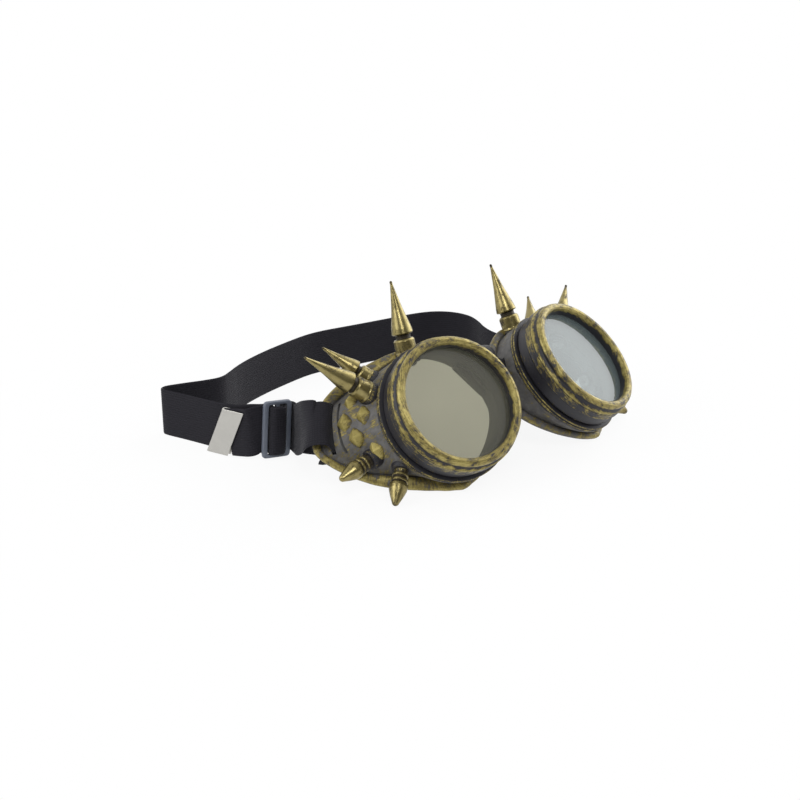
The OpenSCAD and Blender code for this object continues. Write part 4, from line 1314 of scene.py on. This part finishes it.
class GOGGLES_OT_clip(bpy.types.Operator):
    """Build the folded metal clip on the strap's cut end"""

    bl_idname = "goggles.clip"
    bl_label = "Strap end clip"

    def execute(self, context):
        """The sheet's middle follows a U with a half-round fold, sheared with height; near its edges runs a
        raised hem, a smooth bump of 0.13 mm."""
        half_gap = (CLIP_GAP + CLIP_SHEET) / 2
        flat = CLIP_LEN - half_gap - CLIP_SHEET / 2
        fold = np.pi * half_gap
        total = 2 * flat + fold
        s, z = np.meshgrid(np.linspace(0, total, 80), np.linspace(-CLIP_H / 2, CLIP_H / 2, 56), indexing="ij")
        angle = np.clip((s - flat) / half_gap, 0, np.pi)
        x = np.where(s < flat, s, np.where(s > flat + fold, total - s, flat + half_gap * np.sin(angle)))
        y = -half_gap * np.cos(angle)
        edge = np.minimum(np.minimum(s, total - s), CLIP_H / 2 - np.abs(z))
        hem = 0.13 * np.exp(-(((edge - 0.45) / 0.4) ** 2))
        y = y + np.sign(y) * hem
        x = x - CLIP_LEN / 2 - z * np.tan(np.radians(CLIP_SLANT))
        points = turned(stacked(x, y, z), 2, CLIP_HEADING) + CLIP_AT - FRAME_SHIFT
        uv = stacked(z, s)
        nickel = brushed_metal("brushed_nickel_plate", tuple(colours().nickel), 0.38)
        piece = build("nickel_end_clip", [surface(points, uv, 0.0, (False, False))], nickel, sharp=60)
        solid = piece.modifiers.new("sheet", "SOLIDIFY")
        solid.thickness = CLIP_SHEET * MM
        solid.offset = 0.0
        bevel = piece.modifiers.new("edges", "BEVEL")
        bevel.width = 0.12 * MM
        bevel.segments = 2
        bevel.limit_method = "ANGLE"
        finished(piece)
        piece.data.shade_smooth()
        piece.data.set_sharp_from_angle(angle=np.radians(60))
        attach(piece, "right_cup")
        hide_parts("strap_end_clip")
        return {"FINISHED"}


class GOGGLES_OT_stage(bpy.types.Operator):
    """Set the camera, the floor, the lamps and the world"""

    bl_idname = "goggles.stage"
    bl_label = "Stage"

    def execute(self, context):
        scene = context.scene
        scene.view_settings.view_transform = "Standard"
        camera = bpy.data.objects.new("camera", bpy.data.cameras.new("camera"))
        camera.data.lens = CAMERA_LENS
        camera.data.sensor_width = CAMERA_SENSOR
        camera.location = Vector(((CAMERA_AT - FRAME_SHIFT) * MM).tolist())
        camera.rotation_mode = "QUATERNION"
        camera.rotation_quaternion = Vector(CAMERA_LOOK).to_track_quat("-Z", "Y")
        scene.collection.objects.link(camera)
        scene.camera = camera
        self.floor(scene)
        self.world(scene)
        for lamp in LAMPS:
            self.lamp(*lamp)
        return {"FINISHED"}

    def floor(self, scene):
        """White sweep: a large flat floor that shows as white and keeps a faint shadow."""
        mesh = bpy.data.meshes.new("floor")
        h = FLOOR_HALF
        mesh.from_pydata([(-h, -h, 0), (h, -h, 0), (h, h, 0), (-h, h, 0)], [], [(0, 1, 2, 3)])
        floor = bpy.data.objects.new("floor", mesh)
        floor.location.z = -FLOOR_DROP
        scene.collection.objects.link(floor)
        made, tree, shader = material("white_paper")
        set_shader(tree, shader, Base_Color=linear("#F2F2F2"), Roughness=0.9, Specular_IOR_Level=0.1)
        glow = add(tree, "ShaderNodeEmission", {"Color": (1, 1, 1, 1), "Strength": 1.0}).outputs[0]
        place = add(tree, "ShaderNodeTexCoord").outputs["Object"]
        far = add(tree, "ShaderNodeVectorMath", {0: place}, operation="LENGTH").outputs["Value"]
        white = plus(tree, 0.86, times(tree, far, 0.7), clamp=True)
        share = times(tree, self.seen(tree), white)
        mix = add(tree, "ShaderNodeMixShader", {0: share, 1: shader.outputs[0], 2: glow}).outputs[0]
        tree.links.new(mix, tree.nodes["Material Output"].inputs[0])
        mesh.materials.append(made)

    def seen(self, tree):
        """1 for rays from the camera and for those that metal and glass send on."""
        path = add(tree, "ShaderNodeLightPath").outputs
        both = math_node(tree, "MAXIMUM", path["Is Camera Ray"], path["Is Glossy Ray"])
        return math_node(tree, "MAXIMUM", both, path["Is Transmission Ray"])

    def world(self, scene):
        scene.world = bpy.data.worlds.new("studio")
        scene.world.use_nodes = True
        tree = scene.world.node_tree
        out = tree.nodes["World Output"]
        soft = add(tree, "ShaderNodeBackground", {"Color": linear("#E9ECF2"), "Strength": 0.5}).outputs[0]
        ray = add(tree, "ShaderNodeTexCoord").outputs["Generated"]
        towards = {0: ray, 1: STUDIO_DARK}
        front = add(tree, "ShaderNodeVectorMath", towards, operation="DOT_PRODUCT").outputs["Value"]
        dark = times(tree, minus(tree, front, 0.35), 3.5, clamp=True)
        path = add(tree, "ShaderNodeLightPath").outputs
        dark = times(tree, dark, path["Is Glossy Ray"])
        colour = mixed(tree, dark, (1.0, 1.0, 1.0, 1.0), linear("#1E1E20"))
        white = add(tree, "ShaderNodeBackground", {"Color": colour, "Strength": 1.0}).outputs[0]
        mix = add(tree, "ShaderNodeMixShader", {0: self.seen(tree), 1: soft, 2: white}).outputs[0]
        tree.links.new(mix, out.inputs[0])

    def lamp(self, name, place, size, power):
        data = bpy.data.lights.new(name, "AREA")
        data.shape = "DISK"
        data.size = size
        data.energy = power
        lamp = bpy.data.objects.new(name, data)
        lamp.location = place
        lamp.rotation_mode = "QUATERNION"
        lamp.rotation_quaternion = (Vector((0, 0, 0.03)) - Vector(place)).to_track_quat("-Z", "Y")
        bpy.context.scene.collection.objects.link(lamp)


BUILDERS = (
    GOGGLES_OT_stage,
    GOGGLES_OT_eyecups,
    GOGGLES_OT_lens_rings,
    GOGGLES_OT_lenses,
    GOGGLES_OT_spikes,
    GOGGLES_OT_screws,
    GOGGLES_OT_nose_bridge,
    GOGGLES_OT_strap,
    GOGGLES_OT_stitching,
    GOGGLES_OT_slider,
    GOGGLES_OT_clip,
)


class GOGGLES_PT_builders(bpy.types.Panel):
    """Lists the builders of the goggles"""

    bl_label = "Goggles"
    bl_idname = "GOGGLES_PT_builders"
    bl_space_type = "VIEW_3D"
    bl_region_type = "UI"
    bl_category = "Goggles"

    def draw(self, context):
        for group in (context.scene.goggles_sizes, context.scene.goggles_colours):
            for key in group.bl_rna.properties.keys():
                if key not in ("rna_type", "name"):
                    self.layout.prop(group, key)
        for builder in BUILDERS:
            self.layout.operator(builder.bl_idname)


CLASSES = (GogglesSizes, GogglesColours, *BUILDERS, GOGGLES_PT_builders)


def register():
    for cls in CLASSES:
        bpy.utils.register_class(cls)
    bpy.types.Scene.goggles_sizes = PointerProperty(type=GogglesSizes)
    bpy.types.Scene.goggles_colours = PointerProperty(type=GogglesColours)


def unregister():
    del bpy.types.Scene.goggles_colours
    del bpy.types.Scene.goggles_sizes
    for cls in reversed(CLASSES):
        bpy.utils.unregister_class(cls)


def main():
    register()
    for builder in BUILDERS:
        group, name = builder.bl_idname.split(".")
        getattr(getattr(bpy.ops, group), name)()


if __name__ == "__main__":
    main()
